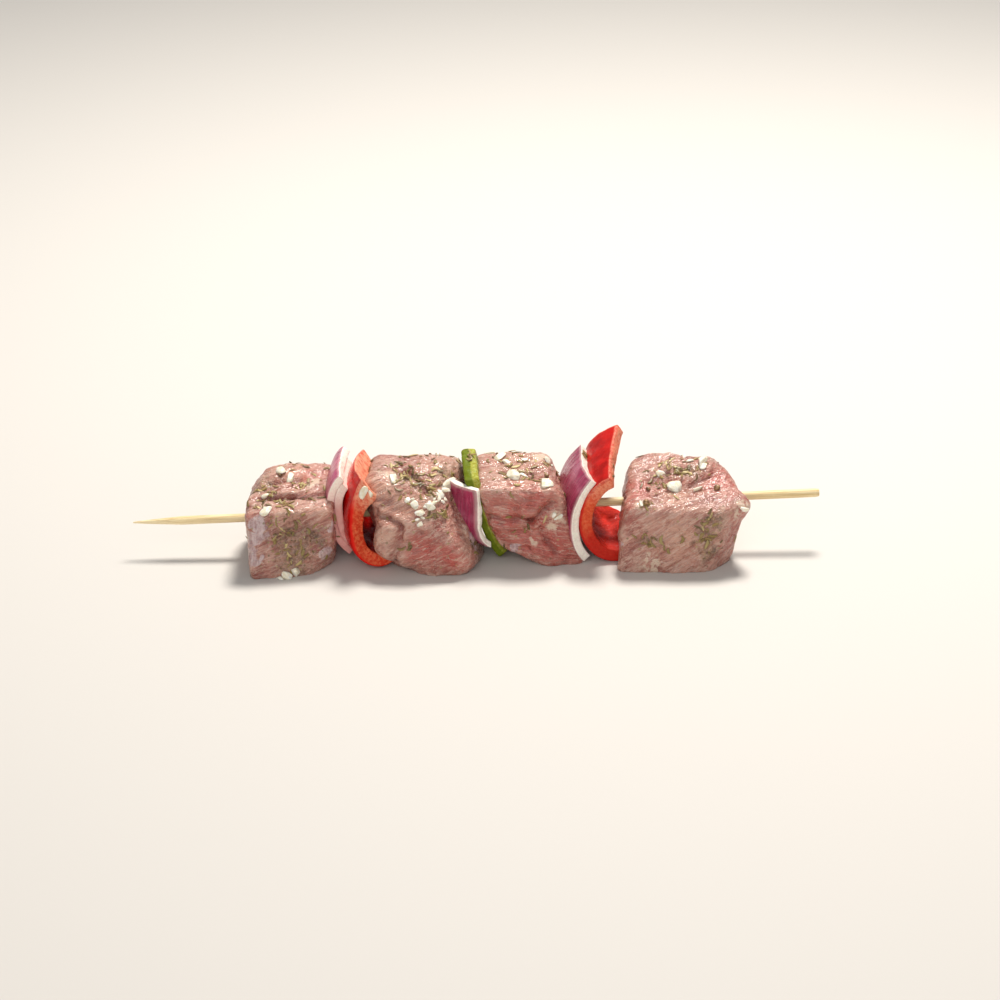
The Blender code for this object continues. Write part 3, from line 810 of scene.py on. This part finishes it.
def strew(name, piece, draw):
    """Where flakes, garlic and seeds lie on one block, and the frames that they lie in."""
    stray_ways = unit(draw.normal(size=(STRAY_HERBS, 3)))
    stray_ways[:, 2] = np.abs(stray_ways[:, 2]) * 1.2 - 0.25
    ways = np.concatenate([scattered_ways(HERBS[name], draw), unit(stray_ways)])
    at, first, second, out = surface_frames(ways, name)
    keep = on_the_piece(at, piece) & (at[:, 2] > 0.8)
    return [values[keep] for values in (at, first, second, out)]


def make_herbs(blocks, material):
    """Flakes of dried herb: a leaf blade whose width follows the sine of its length, bent along
    its length and folded a little along its middle, with a top and an underside."""
    draw = np.random.default_rng(41)
    lots = [strew(name, piece, draw) for name, piece in blocks.items()]
    for *spot, spread, number in EDGE_HERBS:
        at, first, second, out = edge_frames([spot] * number)
        aside = draw.normal(0, spread, (number, 1)) * first + draw.normal(0, 0.6, (number, 1)) * second
        lots.append([at + aside, first, second, out])
    at, first, second, out = (np.concatenate(values) for values in zip(*lots))
    count = len(at)
    even, faces = box_faces(FLAKE_CELLS)
    a, b, c = even.T
    short, full = HERB_LENGTH
    long = short + (full - short) * draw.random(count)
    wide = draw.uniform(*HERB_WIDTH, count) * np.clip(long / 2.4, 0.6, 1.2)
    curve = draw.normal(0, 0.16, count)
    twist = draw.normal(0, 0.22, count)
    blade = 0.18 + 0.82 * np.sqrt(np.clip(1 - a**2, 0, 1))
    x = long[:, None] / 2 * a[None]
    y = wide[:, None] / 2 * (b * blade)[None] + (curve * long)[:, None] * (a**2)[None]
    z = 0.10 + 0.10 * c[None] * blade + 0.12 * wide[:, None] * np.abs(b)[None]
    z = z + (twist * long)[:, None] * 0.3 * (a * np.abs(a))[None] + 0.06 * draw.random(count)[:, None]
    template = np.stack([x, y + 0 * z, z], axis=-1)
    frames = turned_frames(first, second, out, draw.uniform(0, math.tau, count))
    points, faces = placed(template, faces, at, frames)
    points[:, 2] = np.maximum(points[:, 2], 0.05)
    kind = np.repeat(draw.random(count), template.shape[1])
    return new_piece("herb_flakes", points, faces, material, {"kind": kind})


def make_garlic(blocks, material):
    """Chopped garlic: each bit is what is left of a ball inside eight seeded knife cuts, by the
    same p-norm as the blocks of beef, stretched to its length and sunk a little in the meat."""
    draw = np.random.default_rng(17)
    ways, faces = ball_faces(GARLIC_CELLS)
    bits = []
    for name, piece in blocks.items():
        rows = GARLIC[name] + [
            (draw.normal(90, 25), draw.uniform(0, 60), draw.uniform(2, 4)) for _ in range(BACK_GARLIC)
        ]
        rows = np.array(rows)
        at, first, second, out = surface_frames(facing(rows[:, 0], rows[:, 1]), name)
        keep = on_the_piece(at, piece, 0.8)
        bits.append([values[keep] for values in (at, first, second, out, rows[:, 2])])
    bits.append([*edge_frames([row[:4] for row in EDGE_GARLIC]), [row[4] for row in EDGE_GARLIC]])
    at, first, second, out, long = (np.concatenate(values) for values in zip(*bits))
    count = len(at)
    cuts = unit(draw.normal(size=(count, 8, 3)))
    reach = draw.uniform(0.5, 1.0, (count, 1, 8))
    towards = np.clip(np.einsum("pa,cka->cpk", ways, cuts), 0.02, None) / reach
    radius = np.minimum((towards**14).sum(axis=2) ** (-1 / 14), 1.2)
    size = np.stack([long, long * draw.uniform(0.5, 0.85, count), long * 0.42], axis=1) / 2 * 1.2
    template = ways[None] * radius[..., None] * size[:, None, :]
    grain = layered((template + np.arange(count)[:, None, None] * 31.7).reshape(-1, 3), 0.9, 9)
    template = template * (1 + 0.07 * grain.reshape(count, -1, 1))
    frames = turned_frames(first, second, out, draw.uniform(0, math.tau, count))
    points, faces = placed(template, faces, at + 0.06 * long[:, None] * out, frames)
    points[:, 2] = np.maximum(points[:, 2], 0.1)
    return new_piece("garlic_bits", points, faces, material)


def make_seeds(material):
    """Brown seeds: balls, a little flattened, half sunk in the meat."""
    ways, faces = ball_faces(SEED_CELLS)
    at, frames, size = [], [], []
    for name, azimuth, elevation, thickness in SEEDS:
        place, first, second, out = surface_frames(facing([azimuth], [elevation]), name)
        at.append(place[0] + 0.2 * thickness * out[0])
        frames.append([first[0], second[0], out[0]])
        size.append([thickness / 2, thickness / 2.2, thickness / 2.6])
    template = ways[None] * np.array(size)[:, None, :]
    points, faces = placed(template, faces, np.array(at), np.array(frames))
    return new_piece("marinade_seeds", points, faces, material)


# Finishes.


def add_node(tree, kind, settings=None, **inputs):
    """A shader node. An input takes a number, a colour or another node's output; the name's
    underscores stand for spaces."""
    made = tree.nodes.new("ShaderNode" + kind)
    for name, value in (settings or {}).items():
        setattr(made, name, value)
    for name, value in inputs.items():
        put(tree, made.inputs[name.replace("_", " ")], value)
    return made


def put(tree, socket, value):
    if isinstance(value, bpy.types.NodeSocket):
        tree.links.new(value, socket)
    else:
        socket.default_value = value


def reckon(tree, operation, first, second=0.0):
    """One sum of two numbers or outputs."""
    made = add_node(tree, "Math", {"operation": operation})
    put(tree, made.inputs[0], first)
    put(tree, made.inputs[1], second)
    return made.outputs[0]


def times(tree, first, second):
    return reckon(tree, "MULTIPLY", first, second)


def less(tree, first, second):
    return reckon(tree, "SUBTRACT", first, second)


def weighed(tree, first, *others):
    """A value plus others, each given with its weight."""
    for value, weight in others:
        first = reckon(tree, "ADD", first, times(tree, value, weight))
    return first


def ease(tree, value, low, high, to_low=0.0, to_high=1.0):
    """The value between low and high, eased, put between two others."""
    made = add_node(
        tree, "MapRange", {"interpolation_type": "SMOOTHSTEP"},
        Value=value, From_Min=low, From_Max=high, To_Min=to_low, To_Max=to_high,
    )
    return made.outputs[0]


def blend(tree, share, first, second):
    """Two colours mixed by a share."""
    made = add_node(tree, "Mix", {"data_type": "RGBA"})
    put(tree, made.inputs[0], share)
    put(tree, made.inputs[6], first)
    put(tree, made.inputs[7], second)
    return made.outputs[2]


def noise(tree, place, scale, detail=3.0, roughness=0.55):
    made = add_node(
        tree, "TexNoise", None, Vector=place, Scale=scale, Detail=detail, Roughness=roughness
    )
    return made.outputs["Fac"]


def object_place(tree):
    return add_node(tree, "TexCoord").outputs["Object"]


def attribute(tree, name, output="Vector"):
    return add_node(tree, "Attribute", {"attribute_name": name}).outputs[output]


def parts(tree, vector):
    return add_node(tree, "SeparateXYZ", None, Vector=vector).outputs


def new_group(name, inputs, outputs):
    """A shader node group with named sockets: (name, kind, starting value)."""
    group = bpy.data.node_groups.new(name, "ShaderNodeTree")
    for label, kind, value in inputs:
        socket = group.interface.new_socket(label, in_out="INPUT", socket_type="NodeSocket" + kind)
        if value is not None:
            socket.default_value = value
    for label, kind in outputs:
        group.interface.new_socket(label, in_out="OUTPUT", socket_type="NodeSocket" + kind)
    start = group.nodes.new("NodeGroupInput")
    end = group.nodes.new("NodeGroupOutput")
    return group, start.outputs, end.inputs


def use_group(tree, group, **inputs):
    made = tree.nodes.new("ShaderNodeGroup")
    made.node_tree = group
    for name, value in inputs.items():
        put(tree, made.inputs[name.replace("_", " ")], value)
    return made.outputs


def marinade_film_group():
    """Oil and juice on a surface: a roughness that changes in patches, and a height with beads of
    juice, which a bump reads."""
    tree, given, result = new_group(
        "marinade_film",
        [("Place", "Vector", None), ("Dry", "Float", 0.45), ("Wet", "Float", 0.15),
         ("Patch Scale", "Float", 180.0), ("Bead Scale", "Float", 900.0)],
        [("Roughness", "Float"), ("Height", "Float")],
    )
    patch = ease(tree, noise(tree, given["Place"], given["Patch Scale"], 4), 0.4, 0.62)
    width = less(tree, given["Wet"], given["Dry"])
    put(tree, result["Roughness"], weighed(tree, given["Dry"], (width, patch)))
    beads = add_node(
        tree, "TexVoronoi", {"feature": "SMOOTH_F1"},
        Vector=given["Place"], Scale=given["Bead Scale"], Smoothness=0.4, Randomness=1.0,
    )
    beads = ease(tree, beads.outputs["Distance"], 0.5, 0.05)
    put(tree, result["Height"], times(tree, beads, patch))
    return tree


def herb_specks_group():
    """Fine specks of herb and pepper: a mask and a share of darkness for each speck."""
    tree, given, result = new_group(
        "herb_specks",
        [("Place", "Vector", None), ("Scale", "Float", 700.0), ("Amount", "Float", 0.5)],
        [("Mask", "Float"), ("Shade", "Float")],
    )
    cells = add_node(
        tree, "TexVoronoi", {"feature": "F1"}, Vector=given["Place"], Scale=given["Scale"]
    )
    pick = parts(tree, cells.outputs["Color"])
    chosen = ease(tree, less(tree, given["Amount"], pick[0]), 0.0, 0.06)
    shape = ease(tree, cells.outputs["Distance"], 0.42, 0.22)
    put(tree, result["Mask"], times(tree, chosen, shape))
    put(tree, result["Shade"], pick[1])
    return tree


def new_material(name):
    """A material with its tree and its shader."""
    made = bpy.data.materials.new(name)
    made.use_nodes = True
    return made, made.node_tree, made.node_tree.nodes["Principled BSDF"]


def set_shader(shader, **values):
    for name, value in values.items():
        shader.inputs[name.replace("_", " ")].default_value = value


def bump(tree, height, distance, strength=1.0):
    made = add_node(tree, "Bump", None, Height=height, Distance=distance, Strength=strength)
    return made.outputs["Normal"]


def raw_beef_finish(film, specks):
    """Raw beef: rose and pink patches, deep red patches that are partly painted shade, pale patches
    that are partly painted light, pale threads along the fibres, cream fat, lilac silverskin,
    brown herb paste, painted shade in the hollows, painted light on the ridges, a painted
    highlight along the crests, and a wet film over it all."""
    made, tree, shader = new_material("raw_beef")
    place = object_place(tree)
    threads_at = attribute(tree, "fibre_place")
    fat, paste, skin = parts(tree, attribute(tree, "marinade"))
    red, pale, edge = parts(tree, attribute(tree, "tone"))
    wide = noise(tree, place, 130, 4)
    fine = noise(tree, threads_at, 1.35, 3, 0.6)
    hair = noise(tree, threads_at, 3.2, 2, 0.6)
    colour = blend(tree, ease(tree, wide, 0.34, 0.66), (0.30, 0.085, 0.062, 1), (0.46, 0.195, 0.145, 1))
    # Deep red patches: partly the meat's own redder tone, partly painted shade on faces in shadow.
    deep = times(tree, red, 0.92)
    colour = blend(tree, deep, colour, (0.45, 0.060, 0.042, 1))
    # Pale patches: partly the meat's own paler tone, partly painted light on faces turned to the light.
    light = times(tree, pale, 0.7)
    colour = blend(tree, light, colour, (0.62, 0.335, 0.228, 1))
    plain = less(tree, 1.0, times(tree, red, 0.72))
    lit = times(tree, ease(tree, fine, 0.50, 0.68, 0, 0.68), plain)
    colour = blend(tree, lit, colour, (0.58, 0.34, 0.27, 1))
    colour = blend(tree, ease(tree, fine, 0.47, 0.28, 0, 0.65), colour, (0.20, 0.042, 0.030, 1))
    strands = times(tree, ease(tree, hair, 0.56, 0.68, 0, 0.58), plain)
    colour = blend(tree, strands, colour, (0.66, 0.45, 0.36, 1))
    strips = noise(tree, threads_at, 0.62, 3, 0.6)
    colour = blend(tree, ease(tree, strips, 0.47, 0.36, 0, 0.5), colour, (0.24, 0.062, 0.042, 1))
    broad = times(tree, ease(tree, strips, 0.53, 0.66, 0, 0.55), plain)
    colour = blend(tree, broad, colour, (0.62, 0.40, 0.32, 1))
    marble = reckon(tree, "ABSOLUTE", less(tree, noise(tree, threads_at, 0.30, 4), 0.5))
    colour = blend(tree, ease(tree, marble, 0.020, 0.004, 0, 0.45), colour, (0.70, 0.52, 0.41, 1))
    sunk = attribute(tree, "sunk", "Fac")
    # Painted shade in the hollows, darker where the surface is sunk below the plain block, and painted
    # light on the ridges that stand above it.
    colour = blend(tree, ease(tree, sunk, 0.05, 0.9, 0, 0.62), colour, (0.17, 0.034, 0.024, 1))
    painted_ridge_light = times(tree, ease(tree, sunk, -0.1, -0.6, 0, 0.35), plain)
    colour = blend(tree, painted_ridge_light, colour, (0.62, 0.40, 0.31, 1))
    fat_share = times(tree, fat, ease(tree, noise(tree, place, 420, 3), 0.36, 0.56))
    colour = blend(tree, ease(tree, fat_share, 0.15, 0.6, 0, 0.85), colour, (0.70, 0.53, 0.40, 1))
    stretched = add_node(tree, "Mapping", None, Vector=place, Scale=(1.0, 1.0, 0.35))
    streaks = noise(tree, stretched.outputs[0], 700, 4, 0.6)
    torn = weighed(tree, skin, (noise(tree, place, 260, 4, 0.6), 0.9))
    skin_share = ease(tree, torn, 0.86, 1.08)
    lilac = blend(tree, ease(tree, streaks, 0.42, 0.62), (0.40, 0.27, 0.28, 1), (0.66, 0.55, 0.56, 1))
    colour = blend(tree, times(tree, skin_share, 0.72), colour, lilac)
    # Painted highlight along the crests where two cuts meet, broken up by noise.
    painted_crest_highlight = times(tree, edge, ease(tree, noise(tree, place, 320, 3), 0.42, 0.62))
    colour = blend(tree, times(tree, painted_crest_highlight, 0.35), colour, (0.66, 0.46, 0.35, 1))
    crumbs = noise(tree, place, 300, 5, 0.68)
    mud = weighed(tree, crumbs, (paste, 0.5))
    mud = times(tree, ease(tree, mud, 0.60, 1.06), less(tree, 1.0, skin_share))
    grounds = noise(tree, place, 460, 5, 0.66)
    brown = blend(tree, ease(tree, grounds, 0.40, 0.60), (0.11, 0.060, 0.026, 1), (0.39, 0.225, 0.14, 1))
    colour = blend(tree, times(tree, mud, 0.8), colour, brown)
    amount = ease(tree, paste, 0.0, 1.0, 0.10, 0.50)
    dots = use_group(tree, specks, Place=place, Scale=720, Amount=amount)
    speck = blend(tree, dots["Shade"], (0.12, 0.08, 0.025, 1), (0.46, 0.34, 0.16, 1))
    colour = blend(tree, times(tree, dots["Mask"], 0.75), colour, speck)
    put(tree, shader.inputs["Base Color"], colour)
    oil = use_group(tree, film, Place=place, Dry=0.52, Wet=0.26, Patch_Scale=300, Bead_Scale=1100)
    rough = less(tree, oil["Roughness"], times(tree, skin_share, 0.12))
    put(tree, shader.inputs["Roughness"], rough)
    grit = noise(tree, place, 1400, 2), ease(tree, paste, 0, 1, 0.25, 1.0)
    height = weighed(tree, 0.0, (fine, 0.9), (hair, 0.4), (strips, 1.2), (oil["Height"], 0.35), grit)
    put(tree, shader.inputs["Normal"], bump(tree, height, 0.0007, 0.9))
    glints = weighed(tree, noise(tree, place, 620, 3, 0.6), (fine, 0.3))
    put(tree, shader.inputs["Coat Normal"], bump(tree, glints, 0.0006, 0.8))
    set_shader(
        shader, Coat_Weight=0.55, Coat_Roughness=0.07, Specular_IOR_Level=0.4,
        Subsurface_Weight=0.12, Subsurface_Scale=0.0025, Subsurface_Radius=(1.0, 0.35, 0.25),
    )
    return made


def onion_finish(film, name, outer, inner, rim, flush):
    """Red onion: a purple outer side with lengthwise veins that fades towards the ends, a pale
    inner side and a white cut edge, with the purple of the skin along one side of it. flush is how
    much the cut edge turns to the inner colour towards the lower end."""
    made, tree, shader = new_material(name)
    at = attribute(tree, "place")
    up = parts(tree, at)[0]
    depth = attribute(tree, "depth", "Fac")
    near_edge = attribute(tree, "cut_edge", "Fac")
    squeezed = add_node(tree, "VectorMath", {"operation": "MULTIPLY"})
    put(tree, squeezed.inputs[0], at)
    put(tree, squeezed.inputs[1], (0.05, 1.0, 0.4))
    veins = noise(tree, squeezed.outputs[0], 1.6, 3)
    hairs = noise(tree, squeezed.outputs[0], 4.5, 2)
    cloud = noise(tree, at, 0.10, 3)
    dark = tuple(part * 0.55 for part in outer[:3]) + (1,)
    colour = blend(tree, ease(tree, veins, 0.36, 0.64), dark, outer)
    colour = blend(tree, ease(tree, cloud, 0.46, 0.68, 0, 0.45), colour, inner)
    colour = blend(tree, ease(tree, hairs, 0.56, 0.7, 0, 0.35), colour, inner)
    under = blend(tree, ease(tree, veins, 0.36, 0.66), inner, rim)
    skin = ease(tree, depth, -0.55, -0.85)
    colour = blend(tree, skin, under, colour)
    lines = noise(tree, at, 1.8, 2)
    cut = blend(tree, ease(tree, lines, 0.4, 0.65, 0, 0.2), rim, inner)
    low = times(tree, ease(tree, up, 15.0, 3.0), 0.85 * flush)
    rosy = tuple(a * b for a, b in zip(inner, (0.95, 0.72, 0.66, 1)))
    cut = blend(tree, low, cut, rosy)
    border = ease(tree, reckon(tree, "ABSOLUTE", depth), 0.80, 0.98, 1.0, 0.25)
    share = times(tree, ease(tree, near_edge, 0.55, 0.92), border)
    colour = blend(tree, share, colour, cut)
    put(tree, shader.inputs["Base Color"], colour)
    place = object_place(tree)
    oil = use_group(tree, film, Place=place, Dry=0.36, Wet=0.18, Patch_Scale=200, Bead_Scale=800)
    put(tree, shader.inputs["Roughness"], oil["Roughness"])
    height = weighed(tree, 0.0, (veins, 0.6), (hairs, 0.3), (lines, 0.3))
    put(tree, shader.inputs["Normal"], bump(tree, height, 0.00025, 0.7))
    set_shader(
        shader, Coat_Weight=0.3, Coat_Roughness=0.1,
        Subsurface_Weight=0.15, Subsurface_Scale=0.002, Subsurface_Radius=(1.0, 0.6, 0.7),
    )
    return made


def pepper_finish(film, name, skin_colour, flesh, inside, speckle, skin_depth, paler_top_and_painted_highlight, blush):
    """Bell pepper: a glossy skin, flesh in the cut edge with a darker line under the skin, and a
    wet inner side with blisters. skin_depth is how deep the skin's colour reaches in a cut,
    paler_top_and_painted_highlight how much the cut edge pales towards the upper end, partly the
    flesh's own paler colour and partly painted highlight, blush how much the lower end takes the
    skin's colour."""
    made, tree, shader = new_material(name)
    at = attribute(tree, "place")
    up = parts(tree, at)[0]
    depth = attribute(tree, "depth", "Fac")
    near_edge = attribute(tree, "cut_edge", "Fac")
    place = object_place(tree)
    cloud = noise(tree, at, 0.16, 4)
    grain = noise(tree, at, 1.1, 3)
    dark = tuple(part * 0.6 for part in skin_colour[:3]) + (1,)
    outer = blend(tree, ease(tree, cloud, 0.36, 0.64), dark, skin_colour)
    dots = ease(tree, noise(tree, at, 2.2, 2), 0.60, 0.72, 0, 0.16)
    outer = blend(tree, dots, outer, speckle)
    inner = blend(tree, ease(tree, cloud, 0.38, 0.62), inside, tuple(p * 0.55 for p in inside[:3]) + (1,))
    inner = blend(tree, ease(tree, grain, 0.56, 0.70, 0, 0.4), inner, flesh)
    colour = blend(tree, ease(tree, depth, -0.35, -0.70), inner, outer)
    cut = blend(tree, ease(tree, grain, 0.38, 0.64), flesh, speckle)
    under_skin = ease(tree, depth, skin_depth, skin_depth - 0.26, 0, 0.9)
    cut = blend(tree, under_skin, cut, skin_colour)
    # The cut edge pales towards the upper end: partly painted highlight where light falls, partly the
    # flesh's own paler, more orange colour.
    top = times(tree, ease(tree, up, 7.0, 16.0), ease(tree, grain, 0.36, 0.60, 0.35, 1))
    cut = blend(tree, times(tree, top, paler_top_and_painted_highlight), cut, (0.86, 0.44, 0.28, 1))
    cut = blend(tree, ease(tree, up, -1.0, -9.0, 0, blush), cut, skin_colour)
    colour = blend(tree, ease(tree, near_edge, 0.50, 0.85), colour, cut)
    put(tree, shader.inputs["Base Color"], colour)
    oil = use_group(tree, film, Place=place, Dry=0.34, Wet=0.14, Patch_Scale=160, Bead_Scale=700)
    put(tree, shader.inputs["Roughness"], weighed(tree, oil["Roughness"], (near_edge, 0.22)))
    blister = times(tree, noise(tree, at, 0.9, 2), ease(tree, depth, -0.2, 0.6, 0.15, 1.0))
    cut_grain = times(tree, grain, near_edge)
    height = weighed(tree, blister, (cut_grain, 0.8), (oil["Height"], 0.25))
    put(tree, shader.inputs["Normal"], bump(tree, height, 0.0005, 0.6))
    put(tree, shader.inputs["Coat Weight"], ease(tree, near_edge, 0.1, 0.7, 0.12, 0.0))
    set_shader(
        shader, Coat_Roughness=0.06, Specular_IOR_Level=0.10,
        Subsurface_Weight=0.08, Subsurface_Scale=0.002, Subsurface_Radius=(1.0, 0.25, 0.15),
    )
    return made


def bamboo_finish():
    """Bamboo: pale straw with long fibres, darker pores and a browner tint here and there."""
    made, tree, shader = new_material("bamboo")
    stretched = add_node(tree, "Mapping", None, Vector=object_place(tree), Scale=(0.03, 1.0, 1.0))
    fibres = noise(tree, stretched.outputs[0], 2600, 4)
    pores = noise(tree, stretched.outputs[0], 5200, 2)
    tint = noise(tree, stretched.outputs[0], 500, 2)
    colour = blend(tree, ease(tree, fibres, 0.34, 0.64), (0.66, 0.47, 0.21, 1), (0.90, 0.74, 0.43, 1))
    colour = blend(tree, ease(tree, tint, 0.45, 0.65, 0, 0.4), colour, (0.93, 0.82, 0.56, 1))
    colour = blend(tree, ease(tree, pores, 0.62, 0.72, 0, 0.5), colour, (0.45, 0.28, 0.11, 1))
    put(tree, shader.inputs["Base Color"], colour)
    put(tree, shader.inputs["Roughness"], ease(tree, fibres, 0.3, 0.7, 0.42, 0.6))
    put(tree, shader.inputs["Normal"], bump(tree, fibres, 0.00012, 0.6))
    return made


def herb_finish():
    """Dried herbs: each flake its own shade from dark olive over green to straw, with a fine
    grain, and oil on it."""
    made, tree, shader = new_material("dried_herbs")
    kind = attribute(tree, "kind", "Fac")
    colour = blend(tree, ease(tree, kind, 0.05, 0.35), (0.10, 0.062, 0.020, 1), (0.28, 0.18, 0.055, 1))
    colour = blend(tree, ease(tree, kind, 0.35, 0.65), colour, (0.25, 0.18, 0.050, 1))
    colour = blend(tree, ease(tree, kind, 0.65, 0.98), colour, (0.60, 0.46, 0.20, 1))
    grain = noise(tree, object_place(tree), 1800, 3)
    colour = blend(tree, ease(tree, grain, 0.35, 0.7, 0, 0.4), colour, (0.40, 0.29, 0.12, 1))
    put(tree, shader.inputs["Base Color"], colour)
    put(tree, shader.inputs["Roughness"], ease(tree, grain, 0.3, 0.7, 0.28, 0.5))
    put(tree, shader.inputs["Normal"], bump(tree, grain, 0.0002, 0.6))
    return made


def garlic_finish(film):
    """Chopped garlic: cream white, a little clear at its edges, with fine grain and oil on it."""
    made, tree, shader = new_material("chopped_garlic")
    place = object_place(tree)
    cloud = noise(tree, place, 500, 3)
    colour = blend(tree, ease(tree, cloud, 0.36, 0.66), (0.76, 0.68, 0.50, 1), (0.93, 0.89, 0.77, 1))
    put(tree, shader.inputs["Base Color"], colour)
    oil = use_group(tree, film, Place=place, Dry=0.42, Wet=0.2, Patch_Scale=500, Bead_Scale=1500)
    put(tree, shader.inputs["Roughness"], oil["Roughness"])
    put(tree, shader.inputs["Normal"], bump(tree, noise(tree, place, 1700, 3), 0.0003, 0.5))
    set_shader(
        shader, Coat_Weight=0.3, Coat_Roughness=0.1,
        Subsurface_Weight=0.3, Subsurface_Scale=0.002, Subsurface_Radius=(1.0, 0.8, 0.6),
    )
    return made


def seed_finish():
    """Brown seeds: amber to dark brown in patches, glossy with oil."""
    made, tree, shader = new_material("marinade_seed")
    cloud = noise(tree, object_place(tree), 700, 3)
    colour = blend(tree, ease(tree, cloud, 0.38, 0.62), (0.12, 0.055, 0.02, 1), (0.38, 0.21, 0.08, 1))
    put(tree, shader.inputs["Base Color"], colour)
    put(tree, shader.inputs["Roughness"], ease(tree, cloud, 0.3, 0.7, 0.12, 0.3))
    put(tree, shader.inputs["Normal"], bump(tree, cloud, 0.0002, 0.4))
    set_shader(shader, Coat_Weight=0.6, Coat_Roughness=0.06)
    return made


# Studio. The camera's place is in millimetres, its two angles in degrees.

FLOOR_REACH = 6000.0
SKY_COLOUR = (0.95, 0.97, 1.0, 1)
SKY_STRENGTH = 0.34
CAMERA_PLACE = (-20.536, -773.613, 398.667)
CAMERA_ELEVATION = 26
CAMERA_AZIMUTH = -2.1437629
SENSOR_WIDTH = 36
LENS = 84.132


def make_floor():
    """A wide, plain, pale sheet at the rest plane."""
    made, _, shader = new_material("pale_floor")
    set_shader(shader, Base_Color=(0.62, 0.59, 0.55, 1), Roughness=0.7)
    corners = np.array([[-1, -1, 0], [1, -1, 0], [1, 1, 0], [-1, 1, 0]]) * FLOOR_REACH
    floor = new_piece("floor", corners, np.array([[0, 1, 2, 3]]), made)


def add_light(name, place, size, power, colour=(1, 1, 1)):
    """A square soft light that looks at the middle of the kebab."""
    data = bpy.data.lights.new(name, "AREA")
    data.size = size
    data.energy = power
    data.color = colour
    light = bpy.data.objects.new(name, data)
    light.location = place
    aim = Vector((0, 0, 0.015)) - Vector(place)
    light.rotation_euler = aim.to_track_quat("-Z", "Y").to_euler()
    bpy.context.scene.collection.objects.link(light)


def light_studio():
    """A pale sky, a small key light from above and behind, and a large soft light in front."""
    world = bpy.data.worlds.new("studio")
    world.use_nodes = True
    set_shader(world.node_tree.nodes["Background"], Color=SKY_COLOUR, Strength=SKY_STRENGTH)
    bpy.context.scene.world = world
    add_light("key", (0.18, 0.42, 0.95), 0.24, 15.0, (1.0, 0.96, 0.90))
    add_light("front_fill", (-0.25, -1.3, 0.75), 1.2, 8.4, (1.0, 0.96, 0.92))


def place_camera():
    """A long lens, 26 degrees above the floor, a little left of square to the skewer."""
    elevation, azimuth = math.radians(CAMERA_ELEVATION), math.radians(CAMERA_AZIMUTH)
    back = Vector((
        math.sin(azimuth) * math.cos(elevation),
        -math.cos(azimuth) * math.cos(elevation),
        math.sin(elevation),
    ))
    right = Vector((math.cos(azimuth), math.sin(azimuth), 0))
    above = back.cross(right)
    data = bpy.data.cameras.new("camera")
    data.sensor_width = SENSOR_WIDTH
    data.lens = LENS
    camera = bpy.data.objects.new("camera", data)
    turn = Matrix((right, above, back)).transposed().to_4x4()
    camera.matrix_world = Matrix.Translation(Vector(CAMERA_PLACE) * MM) @ turn
    bpy.context.scene.collection.objects.link(camera)
    bpy.context.scene.camera = camera


def hand_over(piece, node=None):
    """The piece moves with the kebab and stands for the solid, which is hidden."""
    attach(piece, "root")
    if node:
        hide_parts(node)


def main():
    film = marinade_film_group()
    specks = herb_specks_group()
    beef = raw_beef_finish(film, specks)
    red = pepper_finish(
        film, "red_pepper", (0.70, 0.004, 0.004, 1), (0.62, 0.042, 0.014, 1),
        (0.38, 0.004, 0.003, 1), (0.76, 0.14, 0.055, 1), -0.62, 0.8, 0.0,
    )
    deep_red = pepper_finish(
        film, "deep_red_pepper", (0.52, 0.012, 0.009, 1), (0.66, 0.070, 0.024, 1),
        (0.60, 0.032, 0.020, 1), (0.76, 0.14, 0.055, 1), -0.62, 0.45, 0.85,
    )
    green = pepper_finish(
        film, "green_pepper", (0.115, 0.155, 0.005, 1), (0.30, 0.29, 0.024, 1),
        (0.26, 0.29, 0.04, 1), (0.42, 0.43, 0.09, 1), 0.25, 0.0, 0.5,
    )
    purple = onion_finish(
        film, "red_onion", (0.42, 0.030, 0.105, 1), (0.64, 0.28, 0.36, 1), (0.98, 0.93, 0.80, 1),
        0.0,
    )
    light_purple = onion_finish(
        film, "pale_red_onion", (0.60, 0.075, 0.20, 1), (0.72, 0.35, 0.34, 1), (1.0, 0.91, 0.78, 1),
        1.0,
    )
    finishes = {
        "red_pepper_1": red, "red_pepper_2": deep_red, "green_pepper": green,
        "onion_1": light_purple, "onion_1_inner": light_purple, "onion_2": purple, "onion_3": purple,
    }
    blocks = {}
    for name in BEEF:
        blocks[name] = make_beef(name, beef)
        blocks[name].name = f"{name}_look"
        hand_over(blocks[name], name)
    for name, finish in finishes.items():
        piece = make_vegetable(name, finish)
        piece.name = f"{name}_look"
        hand_over(piece, name)
    hand_over(make_skewer(bamboo_finish()), "skewer")
    hand_over(make_herbs(blocks, herb_finish()))
    hand_over(make_garlic(blocks, garlic_finish(film)))
    hand_over(make_seeds(seed_finish()))
    make_floor()
    light_studio()
    place_camera()
    bpy.context.scene.view_settings.view_transform = "Standard"


main()
